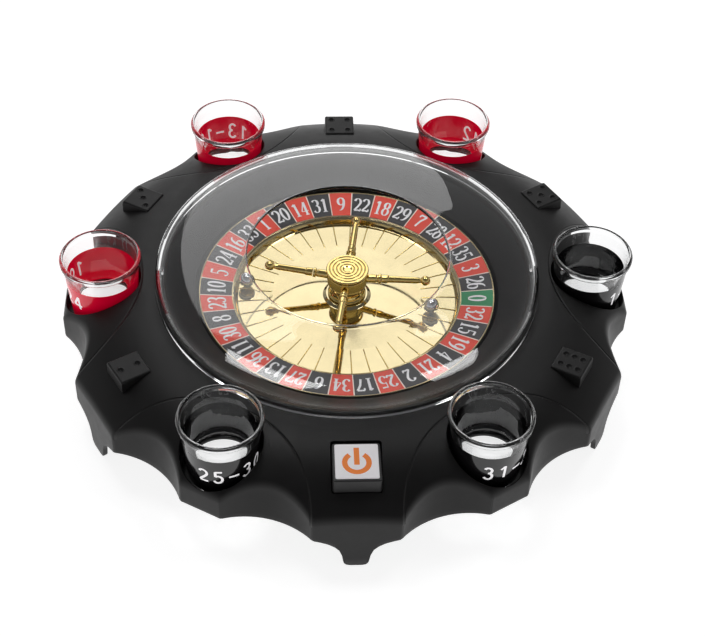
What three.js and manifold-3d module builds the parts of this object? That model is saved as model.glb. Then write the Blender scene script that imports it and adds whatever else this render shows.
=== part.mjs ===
// Battery-driven roulette party game: a black six-lobed body with a spinning gold
// roulette wheel under a clear cover, six shot glasses in wells, and a power button.
//
// Frame: millimetres, +Z up, origin on the table at the centre of the footprint,
// the power button towards -Y. The six glass wells stand at 0, 60, ... 300 degrees
// and the six straight sides with their legs at 30, 90, ... 330 degrees.
import * as THREE from 'three';
import { mergeVertices } from 'three/addons/utils/BufferGeometryUtils.js';
import Module from 'manifold-3d';

const wasm = await Module();
wasm.setup();

// ---- driving dimensions -------------------------------------------------
const GAP = 0.3;

// Body outline, seen from above
const SIDES = 6;
const CORNER_R = 143.5;
const CORNER_HALF_ANGLE = 8.25;
const NOSE_R = 142.8;
const NOSE_HALF_ANGLE = 4.2;
const SCALLOP_DEPTH = 6.2;
const SKIRT_BOTTOM_Z = 18.8;
const SKIRT_WALL = 2.4;
const SHELL_WALL = 2.2;

// Domed top and the bowl round the wheel
const DOME_TOP_Z = 49.6;
const DOME_START_R = 101.7;
const DOME_FALL = 0.01003;
const DOME_END_R = 144.6;
const RIB_R = [92.6, 94.4];
const RIB_TOP_Z = 51.0;
const BOWL_TOP_R = 92.0;
const BOWL_R = 76.2;
const BOWL_EDGE_Z = 40.6;
const FLOOR_Z = 30.8;
const BOSS_R = 7;
const BOSS_TOP_Z = 33.6;

// Legs under the six straight sides
const LEG_FACE_R = CORNER_R * Math.cos(THREE.MathUtils.degToRad(CORNER_HALF_ANGLE));
const LEG_WALL = 2.6;
const LEG_TOP_HALF = 20;
const LEG_HALF = 6.3;
const LEG_FOOT_HALF = 3.4;
const LEG_KNEE_Z = 7.5;

// Glasses and their wells
const GLASS_CIRCLE_R = 122;
const WELL_R = 19.1;
const WELL_WALL = 1.8;
const WELL_FLOOR_Z = 27.2;
const WELL_FLOOR_T = 1.7;
const WELL_HOLE_R = 13.2;
const GLASS_BASE_R = 16.2;
const GLASS_WALL_TOP_R = 18.9;
const GLASS_RIM_R = 20;
const GLASS_TOP_Z = 64;
const GLASS_BASE_Z = WELL_FLOOR_Z + GAP;
const GLASS_FLOOR_Z = 38;
const GLASS_FLOOR_R = 14.8;
const GLASS_MOUTH_R = 18;

// Dice moulded on five of the sides
const DIE_SIZE = 15.9;
const DIE_CENTRE_R = 121.4;
const DIE_TOP_Z = 48.8;
const DIE_ANGLES = [30, 90, 150, 210, 330];

// Power button on the sixth side
const BUTTON_R = 120.2;
const BUTTON_HALF = 11.2;
const BUTTON_TOP_Z = 49;
const BUTTON_LABEL_HALF = 9.85;
const BUTTON_LABEL_T = 0.5;
const BUTTON_HOLE_HALF = 11.6;
const BUTTON_GUIDE_HALF = 13.5;
const BUTTON_GUIDE_WALL = 1.5;
const BUTTON_GUIDE_Z = 31.5;
const BUTTON_FLANGE_HALF = 13.1;
const BUTTON_FLANGE_Z = 35;
const BUTTON_FLANGE_T = 1.6;
const PCB_HALF = [20, 8];
const PCB_TOP_Z = 29.6;
const PCB_T = 1.6;
const PCB_POST_X = 17.2;

// Clear cover
const COVER_R = 97.3;
const COVER_WALL = 1.9;
const COVER_BASE_Z = DOME_TOP_Z + GAP;
const COVER_SHOULDER_Z = 54.8;
const COVER_OPENING_R = 50.6;
const COVER_OPENING_Z = 64.9;

// Wheel: gold pan, number ring and turret
const POCKETS = 37;
const PAN_RIM_R = 74.4;
const PAN_RIM_Z = 39.9;
const RING_R = [57.9, 73.7];
const RING_TOP_Z = [37.9, 39.8];
const RING_T = 0.8;
const LIP_R = 55.6;
const LIP_Z = 37.1;
const PLATE_Z = 33.8;
const PLATE_R = 55.4;
const PLATE_T = 1.8;
const CONE_R = 37.6;
const CONE_TOP_Z = 37;
const CONE_TOP_R = 11;
const RIDGE_W = 0.5;
const RIDGE_H = 0.5;
const WHEEL_TURN = -6.6;
const TURRET_TURN = -8.8;
const HUB_BASE_Z = CONE_TOP_Z + GAP;
const HUB_R = 10.2;
const HUB_TOP_Z = 51.6;
const CAP_R = 10.7;
const CAP_TOP_Z = 53.4;
const ARM_Z = 47.6;
const ARM_TILT = 4.3;
const ARM_COLLAR_R = 17.2;
const ARM_TIP_R = 39.3;
const ARM_BALL_R = 2.5;
const BALL_R = 4;
const BALL_PLACES = [[50.9, 171.5], [43.4, 344]];

// Drive under the wheel
const SPINDLE_R = 2;
const BORE_R = SPINDLE_R + GAP;
const GEAR_MODULE = 1;
const GEAR_TEETH = 40;
const PINION_TEETH = 8;
const GEAR_Z = [24.5, 28.2];
const GEAR_CENTRES = 24.3;
const MOTOR_R = 12.2;
const MOTOR_Z = [11.5, 23.9];

// Base pot and its contents
const POT_R = 96;
const POT_WALL = 2.2;
const POT_BOTTOM_Z = 9;
const POT_FLOOR_Z = 11;
const POT_TOP_Z = 46;
const POST_R = 3.5;
const BASE_SCREW_R = 87;
const BAY_CENTRE_Y = 42.4;
const BAY_HALF = [28, 14.8];
const BAY_WALL = 1.6;
const BAY_ROOF_Z = 26;
const DOOR_LAP = 1.7;
const DOOR_RECESS_Z = 10.2;
const CELL_R = 7.1;
const CELL_LENGTH = 50;
const CELL_Z = 18.4;
const WIRE_R = 0.8;

const BIG = 36;
const MID = 16;
const SMALL = 8;

// ---- materials ----------------------------------------------------------
const finish = (color, roughness, metalness = 0, extra = {}) =>
  new THREE.MeshStandardMaterial({ color, roughness, metalness, ...extra });
const blackPlastic = () => finish(0x242324, 0.5);
const greyPlastic = () => finish(0x3a3a3c, 0.6);
const gold = () => finish(0xe6c46a, 0.12, 1);
const steel = () => finish(0xb8bac0, 0.25, 1);
const clear = () => finish(0xf2f5f5, 0.05, 0, { transparent: true, opacity: 0.25 });
const copper = () => finish(0xc9925a, 0.3, 1);

// ---- helpers ------------------------------------------------------------
const rad = THREE.MathUtils.degToRad;
const root = new THREE.Group();

function bare(geometry) {
  const g = geometry.clone();
  g.deleteAttribute('normal');
  g.deleteAttribute('uv');
  return mergeVertices(g, 1e-4);
}

function signedVolume(geometry) {
  const p = geometry.attributes.position;
  const index = geometry.index;
  const [a, b, c] = [new THREE.Vector3(), new THREE.Vector3(), new THREE.Vector3()];
  let volume = 0;
  for (let i = 0; i < index.count; i += 3) {
    a.fromBufferAttribute(p, index.getX(i));
    b.fromBufferAttribute(p, index.getX(i + 1));
    c.fromBufferAttribute(p, index.getX(i + 2));
    volume += a.dot(b.cross(c)) / 6;
  }
  return volume;
}

// A closed manifold solid with its faces pointing out
function solid(geometry) {
  const g = bare(geometry);
  const triVerts = new Uint32Array(g.index.array);
  if (signedVolume(g) < 0) {
    for (let i = 0; i < triVerts.length; i += 3) {
      [triVerts[i + 1], triVerts[i + 2]] = [triVerts[i + 2], triVerts[i + 1]];
    }
  }
  const vertProperties = new Float32Array(g.attributes.position.array);
  return new wasm.Manifold(new wasm.Mesh({ numProp: 3, vertProperties, triVerts }));
}

function toGeometry(manifold) {
  const mesh = manifold.getMesh();
  const g = new THREE.BufferGeometry();
  g.setAttribute('position', new THREE.BufferAttribute(mesh.vertProperties, 3));
  g.setIndex(new THREE.BufferAttribute(mesh.triVerts, 1));
  g.computeVertexNormals();
  return g;
}

// Solid of revolution about Z from [radius, height] points
function lathe(points, segments) {
  const closed = points[0][0] > 0 ? [...points, points[0]] : points;
  const path = closed.map(([r, z]) => new THREE.Vector2(r, z));
  return new THREE.LatheGeometry(path, segments).rotateX(Math.PI / 2);
}

function turned(points, segments) {
  return toGeometry(solid(lathe(points, segments)));
}

function disc(r, z0, z1, segments, x = 0, y = 0) {
  const g = new THREE.CylinderGeometry(r, r, z1 - z0, segments).rotateX(Math.PI / 2);
  return solid(g.translate(x, y, (z0 + z1) / 2));
}

function box(x0, x1, y0, y1, z0, z1) {
  const g = new THREE.BoxGeometry(x1 - x0, y1 - y0, z1 - z0);
  return g.translate((x0 + x1) / 2, (y0 + y1) / 2, (z0 + z1) / 2);
}

function polar(r, degrees) {
  return [r * Math.cos(rad(degrees)), r * Math.sin(rad(degrees))];
}

function add(name, geometry, material, parent = root) {
  const mesh = new THREE.Mesh(geometry, material);
  mesh.name = name;
  parent.add(mesh);
  return mesh;
}

// A round-headed screw with its head down, the head's underside at z
function screw(x, y, headZ, tipZ, shankR, headR, headT) {
  const points = [[0, headZ - headT], [headR, headZ - headT], [headR, headZ],
    [shankR, headZ], [shankR, tipZ], [0, tipZ]];
  return turned(points, SMALL).translate(x, y, 0);
}

// ---- body outline -------------------------------------------------------
// Arc from one point to another that bulges towards the origin by SCALLOP_DEPTH
function scallop(shape, from, to) {
  const middle = [(from[0] + to[0]) / 2, (from[1] + to[1]) / 2];
  const chord = Math.hypot(to[0] - from[0], to[1] - from[1]);
  const arcR = (chord * chord / 4 + SCALLOP_DEPTH ** 2) / (2 * SCALLOP_DEPTH);
  const reach = Math.hypot(...middle);
  const push = (arcR - SCALLOP_DEPTH) / reach;
  const centre = [middle[0] * (1 + push), middle[1] * (1 + push)];
  const start = Math.atan2(from[1] - centre[1], from[0] - centre[0]);
  const end = Math.atan2(to[1] - centre[1], to[0] - centre[0]);
  shape.absarc(centre[0], centre[1], arcR, start, end, true);
}

function outlineShape() {
  const shape = new THREE.Shape();
  const cornerOffset = 180 / SIDES - CORNER_HALF_ANGLE;
  for (let k = 0; k < SIDES; k += 1) {
    const a = 360 * k / SIDES;
    const first = polar(CORNER_R, a - cornerOffset);
    const noseA = polar(NOSE_R, a - NOSE_HALF_ANGLE);
    const noseB = polar(NOSE_R, a + NOSE_HALF_ANGLE);
    const last = polar(CORNER_R, a + cornerOffset);
    if (k === 0) {
      shape.moveTo(...first);
    } else {
      shape.lineTo(...first);
    }
    scallop(shape, first, noseA);
    shape.lineTo(...noseB);
    scallop(shape, noseB, last);
  }
  shape.closePath();
  return shape;
}

function outlinePrism(scale, z0, z1) {
  const options = { depth: z1 - z0, bevelEnabled: false, curveSegments: 2 };
  const g = new THREE.ExtrudeGeometry(outlineShape(), options);
  return solid(g.scale(scale, scale, 1).translate(0, 0, z0));
}

// ---- upper shell --------------------------------------------------------
const domeZ = (r) => DOME_TOP_Z - DOME_FALL * Math.max(0, r - DOME_START_R) ** 2;
const domeRadii = [DOME_START_R, 116, 130, DOME_END_R];

function shellSheet() {
  const top = domeRadii.map((r) => [r, domeZ(r)]);
  const under = [...domeRadii].reverse().map((r) => [r, domeZ(r) - SHELL_WALL]);
  const bowlUnder = BOWL_R + SHELL_WALL;
  return solid(lathe([
    [BORE_R + 1.9, BOSS_TOP_Z], [BOSS_R, BOSS_TOP_Z], [BOSS_R, FLOOR_Z],
    [BOWL_R, FLOOR_Z], [BOWL_R, BOWL_EDGE_Z], [BOWL_TOP_R, DOME_TOP_Z - 0.6],
    [RIB_R[0], RIB_TOP_Z], [RIB_R[1], RIB_TOP_Z], [RIB_R[1], DOME_TOP_Z],
    ...top, ...under,
    [POT_R - 0.6, DOME_TOP_Z - SHELL_WALL], [bowlUnder, BOWL_EDGE_Z - 1.2],
    [bowlUnder, FLOOR_Z - SHELL_WALL], [BORE_R + 1.9, FLOOR_Z - SHELL_WALL],
  ], BIG));
}

// Everything below the dome surface lowered by drop
function underDome(drop) {
  const top = domeRadii.map((r) => [r, domeZ(r) - drop]);
  return solid(lathe([[0, 0], [0, DOME_TOP_Z - drop], ...top, [DOME_END_R, 0]].reverse(), BIG));
}

function legShape() {
  const shape = new THREE.Shape();
  shape.moveTo(-LEG_TOP_HALF, SKIRT_BOTTOM_Z + 2);
  shape.lineTo(-LEG_TOP_HALF, SKIRT_BOTTOM_Z);
  shape.quadraticCurveTo(-LEG_HALF - 1.5, SKIRT_BOTTOM_Z - 4, -LEG_HALF, LEG_KNEE_Z);
  shape.lineTo(-LEG_HALF, 3.2);
  shape.quadraticCurveTo(-LEG_HALF, 0, -LEG_FOOT_HALF, 0);
  shape.lineTo(LEG_FOOT_HALF, 0);
  shape.quadraticCurveTo(LEG_HALF, 0, LEG_HALF, 3.2);
  shape.lineTo(LEG_HALF, LEG_KNEE_Z);
  shape.quadraticCurveTo(LEG_HALF + 1.5, SKIRT_BOTTOM_Z - 4, LEG_TOP_HALF, SKIRT_BOTTOM_Z);
  shape.lineTo(LEG_TOP_HALF, SKIRT_BOTTOM_Z + 2);
  shape.closePath();
  return shape;
}

function leg(degrees) {
  const options = { depth: LEG_WALL, bevelEnabled: false, curveSegments: 2 };
  const g = new THREE.ExtrudeGeometry(legShape(), options);
  g.rotateX(Math.PI / 2);
  g.translate(0, -LEG_FACE_R + LEG_WALL, 0);
  g.rotateZ(rad(degrees + 90));
  return solid(g);
}

function die(degrees) {
  const half = DIE_SIZE / 2;
  const g = box(DIE_CENTRE_R - half, DIE_CENTRE_R + half, -half, half, 36, DIE_TOP_Z);
  return solid(g.rotateZ(rad(degrees))).subtract(underDome(1.4));
}

function upperShell() {
  let body = shellSheet().intersect(outlinePrism(1, 0, 60));
  const skirtInner = 1 - SKIRT_WALL / CORNER_R;
  const skirt = outlinePrism(1, SKIRT_BOTTOM_Z, 60).subtract(outlinePrism(skirtInner, 0, 70));
  let ribs = skirt;
  for (let k = 0; k < SIDES; k += 1) {
    const [x, y] = polar(GLASS_CIRCLE_R, 60 * k);
    ribs = ribs.add(disc(WELL_R + WELL_WALL, WELL_FLOOR_Z - WELL_FLOOR_T, 60, MID, x, y)
      .intersect(outlinePrism(1, 0, 70)));
    const [bx, by] = polar(BASE_SCREW_R, 60 * k);
    ribs = ribs.add(disc(POST_R, 13.8, 43.6, SMALL, bx, by));
  }
  const guide = solid(box(-BUTTON_GUIDE_HALF - BUTTON_GUIDE_WALL, BUTTON_GUIDE_HALF + BUTTON_GUIDE_WALL,
    -BUTTON_R - BUTTON_GUIDE_HALF - BUTTON_GUIDE_WALL, -BUTTON_R + BUTTON_GUIDE_HALF + BUTTON_GUIDE_WALL,
    BUTTON_GUIDE_Z, 60));
  ribs = ribs.add(guide);
  for (const side of [-1, 1]) {
    ribs = ribs.add(disc(2.9, PCB_TOP_Z + GAP, 44, SMALL, side * PCB_POST_X, -BUTTON_R));
  }
  body = body.add(ribs.intersect(underDome(GAP)));
  for (const angle of DIE_ANGLES) {
    body = body.add(die(angle));
  }
  for (let k = 0; k < SIDES; k += 1) {
    body = body.add(leg(30 + 60 * k));
    const [x, y] = polar(GLASS_CIRCLE_R, 60 * k);
    body = body.subtract(disc(WELL_R, WELL_FLOOR_Z, 80, MID, x, y));
    body = body.subtract(disc(WELL_HOLE_R, 0, 80, MID, x, y));
    const [bx, by] = polar(BASE_SCREW_R, 60 * k);
    body = body.subtract(disc(1.7, 0, 25, SMALL, bx, by));
  }
  body = body.subtract(solid(box(-BUTTON_HOLE_HALF, BUTTON_HOLE_HALF,
    -BUTTON_R - BUTTON_HOLE_HALF, -BUTTON_R + BUTTON_HOLE_HALF, 0, 80)));
  body = body.subtract(solid(box(-BUTTON_GUIDE_HALF, BUTTON_GUIDE_HALF,
    -BUTTON_R - BUTTON_GUIDE_HALF, -BUTTON_R + BUTTON_GUIDE_HALF, 0, 37.4)));
  for (const side of [-1, 1]) {
    body = body.subtract(disc(1.5, 0, 36, SMALL, side * PCB_POST_X, -BUTTON_R));
  }
  return toGeometry(body);
}

add('upper_shell', upperShell(), blackPlastic());

// ---- glasses ------------------------------------------------------------
function glassGeometry() {
  return turned([
    [0, GLASS_BASE_Z], [GLASS_BASE_R, GLASS_BASE_Z], [GLASS_WALL_TOP_R, 60.4],
    [GLASS_RIM_R, 61.1], [GLASS_RIM_R, GLASS_TOP_Z], [GLASS_MOUTH_R, GLASS_TOP_Z],
    [GLASS_FLOOR_R, GLASS_FLOOR_Z], [0, GLASS_FLOOR_Z],
  ], MID);
}

for (let k = 0; k < SIDES; k += 1) {
  const red = k === 1 || k === 2 || k === 3;
  const glass = add(`glass_${k + 1}`, glassGeometry(), finish(red ? 0xb00022 : 0x151515, 0.1));
  const [x, y] = polar(GLASS_CIRCLE_R, 60 * k);
  glass.position.set(x, y, 0);
}

// ---- clear cover --------------------------------------------------------
function coverGeometry() {
  const inner = COVER_R - COVER_WALL;
  let body = solid(lathe([
    [inner, COVER_BASE_Z], [COVER_R, COVER_BASE_Z], [COVER_R, COVER_SHOULDER_Z],
    [COVER_R - 2.2, COVER_SHOULDER_Z + 1.8], [75, 61.3], [COVER_OPENING_R, COVER_OPENING_Z],
    [COVER_OPENING_R, COVER_OPENING_Z - 1.9], [74.6, 59.4], [inner - 0.6, COVER_SHOULDER_Z - 0.4],
  ], BIG));
  for (const side of [0, 180]) {
    const lug = box(inner - 1.2, inner + 0.5, -2.5, 2.5, 51.6, 54);
    body = body.add(solid(lug.rotateZ(rad(side))));
  }
  return toGeometry(body);
}

add('clear_cover', coverGeometry(), clear());

// ---- wheel --------------------------------------------------------------
const wheel = new THREE.Group();
wheel.rotation.z = rad(WHEEL_TURN);
root.add(wheel);

function panGeometry() {
  const seatDrop = RING_T + GAP;
  let body = solid(lathe([
    [BORE_R, CONE_TOP_Z], [CONE_TOP_R, CONE_TOP_Z], [CONE_R, PLATE_Z], [PLATE_R, PLATE_Z],
    [LIP_R, LIP_Z], [RING_R[0] - GAP, RING_TOP_Z[0]], [RING_R[0] - GAP, RING_TOP_Z[0] - seatDrop],
    [RING_R[1] + GAP, RING_TOP_Z[1] - seatDrop], [RING_R[1] + GAP, PAN_RIM_Z],
    [PAN_RIM_R, PAN_RIM_Z], [PAN_RIM_R, PAN_RIM_Z - 3.2], [58.6, RING_TOP_Z[0] - 3.2],
    [57.4, PLATE_Z - PLATE_T], [CONE_R, PLATE_Z - PLATE_T], [CONE_TOP_R, CONE_TOP_Z - 2],
    [BORE_R, CONE_TOP_Z - 2],
  ], POCKETS).rotateZ(Math.PI / POCKETS));
  for (let k = 0; k < POCKETS; k += 1) {
    const ridge = box(CONE_R + 0.3, PLATE_R + 0.3, -RIDGE_W / 2, RIDGE_W / 2,
      PLATE_Z - 0.3, PLATE_Z + RIDGE_H);
    body = body.add(solid(ridge.rotateZ((k + 0.5) * 2 * Math.PI / POCKETS)));
  }
  return toGeometry(body);
}

add('wheel_pan', panGeometry(), gold(), wheel);
add('number_ring', turned([
  [RING_R[0], RING_TOP_Z[0]], [RING_R[1], RING_TOP_Z[1]],
  [RING_R[1], RING_TOP_Z[1] - RING_T], [RING_R[0], RING_TOP_Z[0] - RING_T],
], POCKETS).rotateZ(Math.PI / POCKETS), finish(0xd84a30, 0.5), wheel);

// Turret: hub with four stubs, four arms and a grooved cap
const turret = new THREE.Group();
turret.rotation.z = rad(TURRET_TURN);
root.add(turret);

function alongArm(geometry) {
  return geometry.rotateY(Math.PI / 2).rotateY(-rad(ARM_TILT)).translate(0, 0, ARM_Z);
}

function hubGeometry() {
  let body = solid(lathe([
    [0, HUB_BASE_Z], [9.6, HUB_BASE_Z], [9.6, HUB_BASE_Z + 0.9], [9, HUB_BASE_Z + 1.3],
    [9.3, 41], [HUB_R, 46], [HUB_R, HUB_TOP_Z], [0, HUB_TOP_Z],
  ], MID));
  for (let k = 0; k < 4; k += 1) {
    const stub = alongArm(lathe([
      [0, 4], [2.2, 4], [2.2, ARM_COLLAR_R - 1], [2.5, ARM_COLLAR_R - 0.8],
      [2.5, ARM_COLLAR_R], [0, ARM_COLLAR_R],
    ], SMALL));
    body = body.add(solid(stub.rotateZ(k * Math.PI / 2)));
  }
  return toGeometry(body.subtract(disc(BORE_R, 30, 48, SMALL)));
}

add('turret_hub', hubGeometry(), gold(), turret);

const armProfile = [[0, ARM_COLLAR_R + GAP], [2.1, ARM_COLLAR_R + GAP], [2.1, 21],
  [1.6, ARM_TIP_R - 4], [1.3, ARM_TIP_R - ARM_BALL_R * 0.9], [2.15, ARM_TIP_R - 1.3],
  [ARM_BALL_R, ARM_TIP_R], [2.15, ARM_TIP_R + 1.3], [1.2, ARM_TIP_R + 2.2], [0, ARM_TIP_R + ARM_BALL_R]];
for (let k = 0; k < 4; k += 1) {
  const arm = add(`turret_arm_${k + 1}`, alongArm(turned(armProfile, SMALL)), gold(), turret);
  arm.rotation.z = k * Math.PI / 2;
}
add('turret_cap', turned([
  [0, HUB_TOP_Z + GAP], [CAP_R, HUB_TOP_Z + GAP], [CAP_R, CAP_TOP_Z - 0.5], [CAP_R - 0.6, CAP_TOP_Z],
  [7.8, CAP_TOP_Z], [7.2, CAP_TOP_Z - 0.6], [6.6, CAP_TOP_Z], [0, CAP_TOP_Z],
], MID), gold(), turret);

// Two steel balls lying on the plate
BALL_PLACES.forEach(([r, degrees], i) => {
  const ball = add(`ball_${i + 1}`, new THREE.SphereGeometry(BALL_R, 12, 8), steel());
  const [x, y] = polar(r, degrees);
  ball.position.set(x, y, PLATE_Z + RIDGE_H + GAP + BALL_R);
});

// ---- spindle and gears --------------------------------------------------
add('spindle', turned([[0, 22.3], [SPINDLE_R, 22.3], [SPINDLE_R, 23.0], [1.5, 23.0], [1.5, 24.0],
  [SPINDLE_R, 24.0], [SPINDLE_R, 47.6], [0, 47.6]], SMALL), steel());
add('spindle_bush', turned([[BORE_R, 28.7], [3.9, 28.7], [3.9, BOSS_TOP_Z + GAP],
  [6, BOSS_TOP_Z + GAP], [6, 34.6], [BORE_R, 34.6]], MID), copper());

function clipGeometry() {
  const shape = new THREE.Shape();
  shape.absarc(0, 0, 4, rad(25), rad(335), false);
  shape.absarc(0, 0, 1.9, rad(325), rad(35), true);
  shape.closePath();
  const g = new THREE.ExtrudeGeometry(shape, { depth: 0.5, bevelEnabled: false, curveSegments: 4 });
  return toGeometry(solid(g.translate(0, 0, 23.2)));
}

add('spindle_clip', clipGeometry(), steel());

// Spur gear with straight-sided teeth, a tooth centred on +X when phase is 0
function gearGeometry(teeth, z0, z1, boreR, phase) {
  const pitchR = GEAR_MODULE * teeth / 2;
  const rootR = pitchR - 1.15 * GEAR_MODULE;
  const tipR = pitchR + 0.85 * GEAR_MODULE;
  const step = 2 * Math.PI / teeth;
  const rootHalf = 0.78 * GEAR_MODULE / rootR;
  const tipHalf = 0.32 * GEAR_MODULE / tipR;
  const shape = new THREE.Shape();
  for (let k = 0; k < teeth; k += 1) {
    const a = (k + phase) * step;
    const corners = [[rootR, a - rootHalf], [tipR, a - tipHalf],
      [tipR, a + tipHalf], [rootR, a + rootHalf]];
    for (const [r, t] of corners) {
      const place = [r * Math.cos(t), r * Math.sin(t)];
      if (k === 0 && t === a - rootHalf) {
        shape.moveTo(...place);
      } else {
        shape.lineTo(...place);
      }
    }
  }
  shape.closePath();
  const g = new THREE.ExtrudeGeometry(shape, { depth: z1 - z0, bevelEnabled: false });
  return toGeometry(solid(g.translate(0, 0, z0)).subtract(disc(boreR, 0, 60, SMALL)));
}

add('drive_gear', gearGeometry(GEAR_TEETH, GEAR_Z[0], GEAR_Z[1], BORE_R, 0), finish(0xe8e4d8, 0.5));
const drive = new THREE.Group();
drive.position.set(GEAR_CENTRES, 0, 0);
root.add(drive);
add('motor_pinion', gearGeometry(PINION_TEETH, GEAR_Z[0] + 0.2, GEAR_Z[1], 1.3, 0.5),
  finish(0xe8e4d8, 0.5), drive);
add('motor_shaft', turned([[0, MOTOR_Z[1] - 2.2], [1, MOTOR_Z[1] - 2.2], [1, 28.1], [0, 28.1]], SMALL),
  steel(), drive);
add('motor', turned([
  [0, MOTOR_Z[0]], [MOTOR_R - 0.5, MOTOR_Z[0]], [MOTOR_R, MOTOR_Z[0] + 0.5],
  [MOTOR_R, MOTOR_Z[1] - 1.0],
  [MOTOR_R - 0.5, MOTOR_Z[1] - 0.5], [3.2, MOTOR_Z[1] - 0.5], [3.2, MOTOR_Z[1]], [1.3, MOTOR_Z[1]],
  [1.3, MOTOR_Z[1] - 2.5], [0, MOTOR_Z[1] - 2.5],
], MID), steel(), drive);

function bracketGeometry() {
  const ring = disc(MOTOR_R + 2.3, 17.3, 19.3, MID).add(solid(box(-3.5, 3.5, -20.5, 20.5, 17.3, 19.3)));
  let body = ring.subtract(disc(MOTOR_R + GAP, 0, 40, MID));
  for (const side of [-1, 1]) {
    body = body.subtract(disc(1.6, 0, 40, SMALL, 0, side * 17.4));
  }
  return toGeometry(body);
}

add('motor_bracket', bracketGeometry(), steel(), drive);
[-1, 1].forEach((side, i) => {
  const g = turned([[0, 13], [1.3, 13], [1.3, 19.6], [2.6, 19.6], [2.6, 21.2], [0, 21.2]], SMALL);
  const place = add(`bracket_screw_${i + 1}`, g, steel(), drive);
  place.position.set(0, side * 17.4, 0);
});

// ---- base pot -----------------------------------------------------------
const bayY = [BAY_CENTRE_Y - BAY_HALF[1], BAY_CENTRE_Y + BAY_HALF[1]];
const EAR_HALF = 5;
const EAR_END_Y = bayY[1] + 9.5;
const EAR_TOP_Z = 12;
const DOOR_SCREW_Y = bayY[1] + 5.4;

function potGeometry() {
  let body = solid(lathe([
    [0, POT_BOTTOM_Z], [POT_R - 1, POT_BOTTOM_Z], [POT_R, POT_BOTTOM_Z + 1], [POT_R, POT_TOP_Z],
    [POT_R - POT_WALL, POT_TOP_Z], [POT_R - POT_WALL, POT_FLOOR_Z], [0, POT_FLOOR_Z],
  ], BIG));
  for (let k = 0; k < SIDES; k += 1) {
    const [x, y] = polar(BASE_SCREW_R, 60 * k);
    body = body.add(disc(5.2, POT_FLOOR_Z - 0.5, 13.5, SMALL, x, y));
  }
  const motorNest = disc(MOTOR_R + 1.9, POT_FLOOR_Z - 0.5, 15, MID, GEAR_CENTRES, 0)
    .subtract(disc(MOTOR_R + GAP, POT_FLOOR_Z, 20, MID, GEAR_CENTRES, 0));
  body = body.add(motorNest);
  for (const side of [-1, 1]) {
    body = body.add(disc(3, POT_FLOOR_Z - 0.5, 17, SMALL, GEAR_CENTRES, side * 17.4));
  }
  const [hx, wall] = [BAY_HALF[0], BAY_WALL];
  body = body.add(solid(box(-hx - wall, hx + wall, bayY[0] - wall, bayY[1] + wall,
    POT_FLOOR_Z - 0.5, BAY_ROOF_Z + wall)));
  body = body.add(solid(box(-EAR_HALF - 1.6, EAR_HALF + 1.6, bayY[1], EAR_END_Y + 1.6,
    POT_FLOOR_Z - 0.5, 14)));
  body = body.add(disc(3, 13.5, 18, SMALL, 0, DOOR_SCREW_Y));
  body = body.subtract(solid(box(-hx, hx, bayY[0], bayY[1], 0, BAY_ROOF_Z)));
  body = body.subtract(solid(box(-hx - DOOR_LAP, hx + DOOR_LAP, bayY[0] - DOOR_LAP, bayY[1] + DOOR_LAP,
    0, DOOR_RECESS_Z)));
  body = body.subtract(solid(box(-EAR_HALF, EAR_HALF, bayY[1] - 2, EAR_END_Y, 0, EAR_TOP_Z + GAP)));
  body = body.subtract(disc(1.6, 0, 17, SMALL, 0, DOOR_SCREW_Y));
  for (let k = 0; k < SIDES; k += 1) {
    const [x, y] = polar(BASE_SCREW_R, 60 * k);
    body = body.subtract(disc(3.5, 0, 11.2, SMALL, x, y));
    body = body.subtract(disc(1.9, 0, 20, SMALL, x, y));
  }
  for (const side of [-1, 1]) {
    body = body.subtract(disc(1.6, 12, 20, SMALL, GEAR_CENTRES, side * 17.4));
  }
  body = body.subtract(solid(box(-9, 9, -POT_R - 2, -POT_R + POT_WALL + 2, 17, 23)));
  return toGeometry(body);
}

add('bottom_cover', potGeometry(), greyPlastic());
for (let k = 0; k < SIDES; k += 1) {
  const [x, y] = polar(BASE_SCREW_R, 60 * k);
  add(`base_screw_${k + 1}`, screw(x, y, 10.9, 23.5, 1.4, 3, 1.6), steel());
}

// Battery door, its screw, the cells and their contacts
function doorGeometry() {
  const lap = DOOR_LAP - GAP;
  const [hx, hy] = BAY_HALF;
  const doorTop = DOOR_RECESS_Z - GAP;
  let body = solid(box(-hx - lap, hx + lap, bayY[0] - lap, bayY[1] + lap, POT_BOTTOM_Z, doorTop));
  body = body.add(solid(box(-hx + 0.4, hx - 0.4, bayY[0] + 0.4, bayY[1] - 0.4, 9.5, 10.8)));
  const ear = EAR_HALF - GAP;
  body = body.add(solid(box(-ear, ear, bayY[1] - 1, bayY[1] + 1.3, POT_BOTTOM_Z, EAR_TOP_Z)));
  body = body.add(solid(box(-ear, ear, bayY[1] - 1, EAR_END_Y - GAP, EAR_TOP_Z - 1.3, EAR_TOP_Z)));
  return toGeometry(body.subtract(disc(1.9, 0, 20, SMALL, 0, DOOR_SCREW_Y)));
}

add('battery_door', doorGeometry(), greyPlastic());
add('door_screw', screw(0, DOOR_SCREW_Y, EAR_TOP_Z - 1.3 - GAP, 16, 1.3, 2.7, 1.2), steel());

[-1, 1].forEach((side, i) => {
  const nub = 1.2;
  const half = CELL_LENGTH / 2;
  const g = turned([
    [0, -half], [CELL_R - 0.4, -half], [CELL_R, -half + 0.4], [CELL_R, half - nub - 0.5],
    [CELL_R - 0.6, half - nub], [2.7, half - nub], [2.7, half], [0, half],
  ], MID).rotateY(side * Math.PI / 2);
  const cell = add(`aa_cell_${i + 1}`, g, finish(0x2f6f4f, 0.35, 0.3));
  cell.position.set(0, BAY_CENTRE_Y + side * 7.4, CELL_Z);
});

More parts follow.
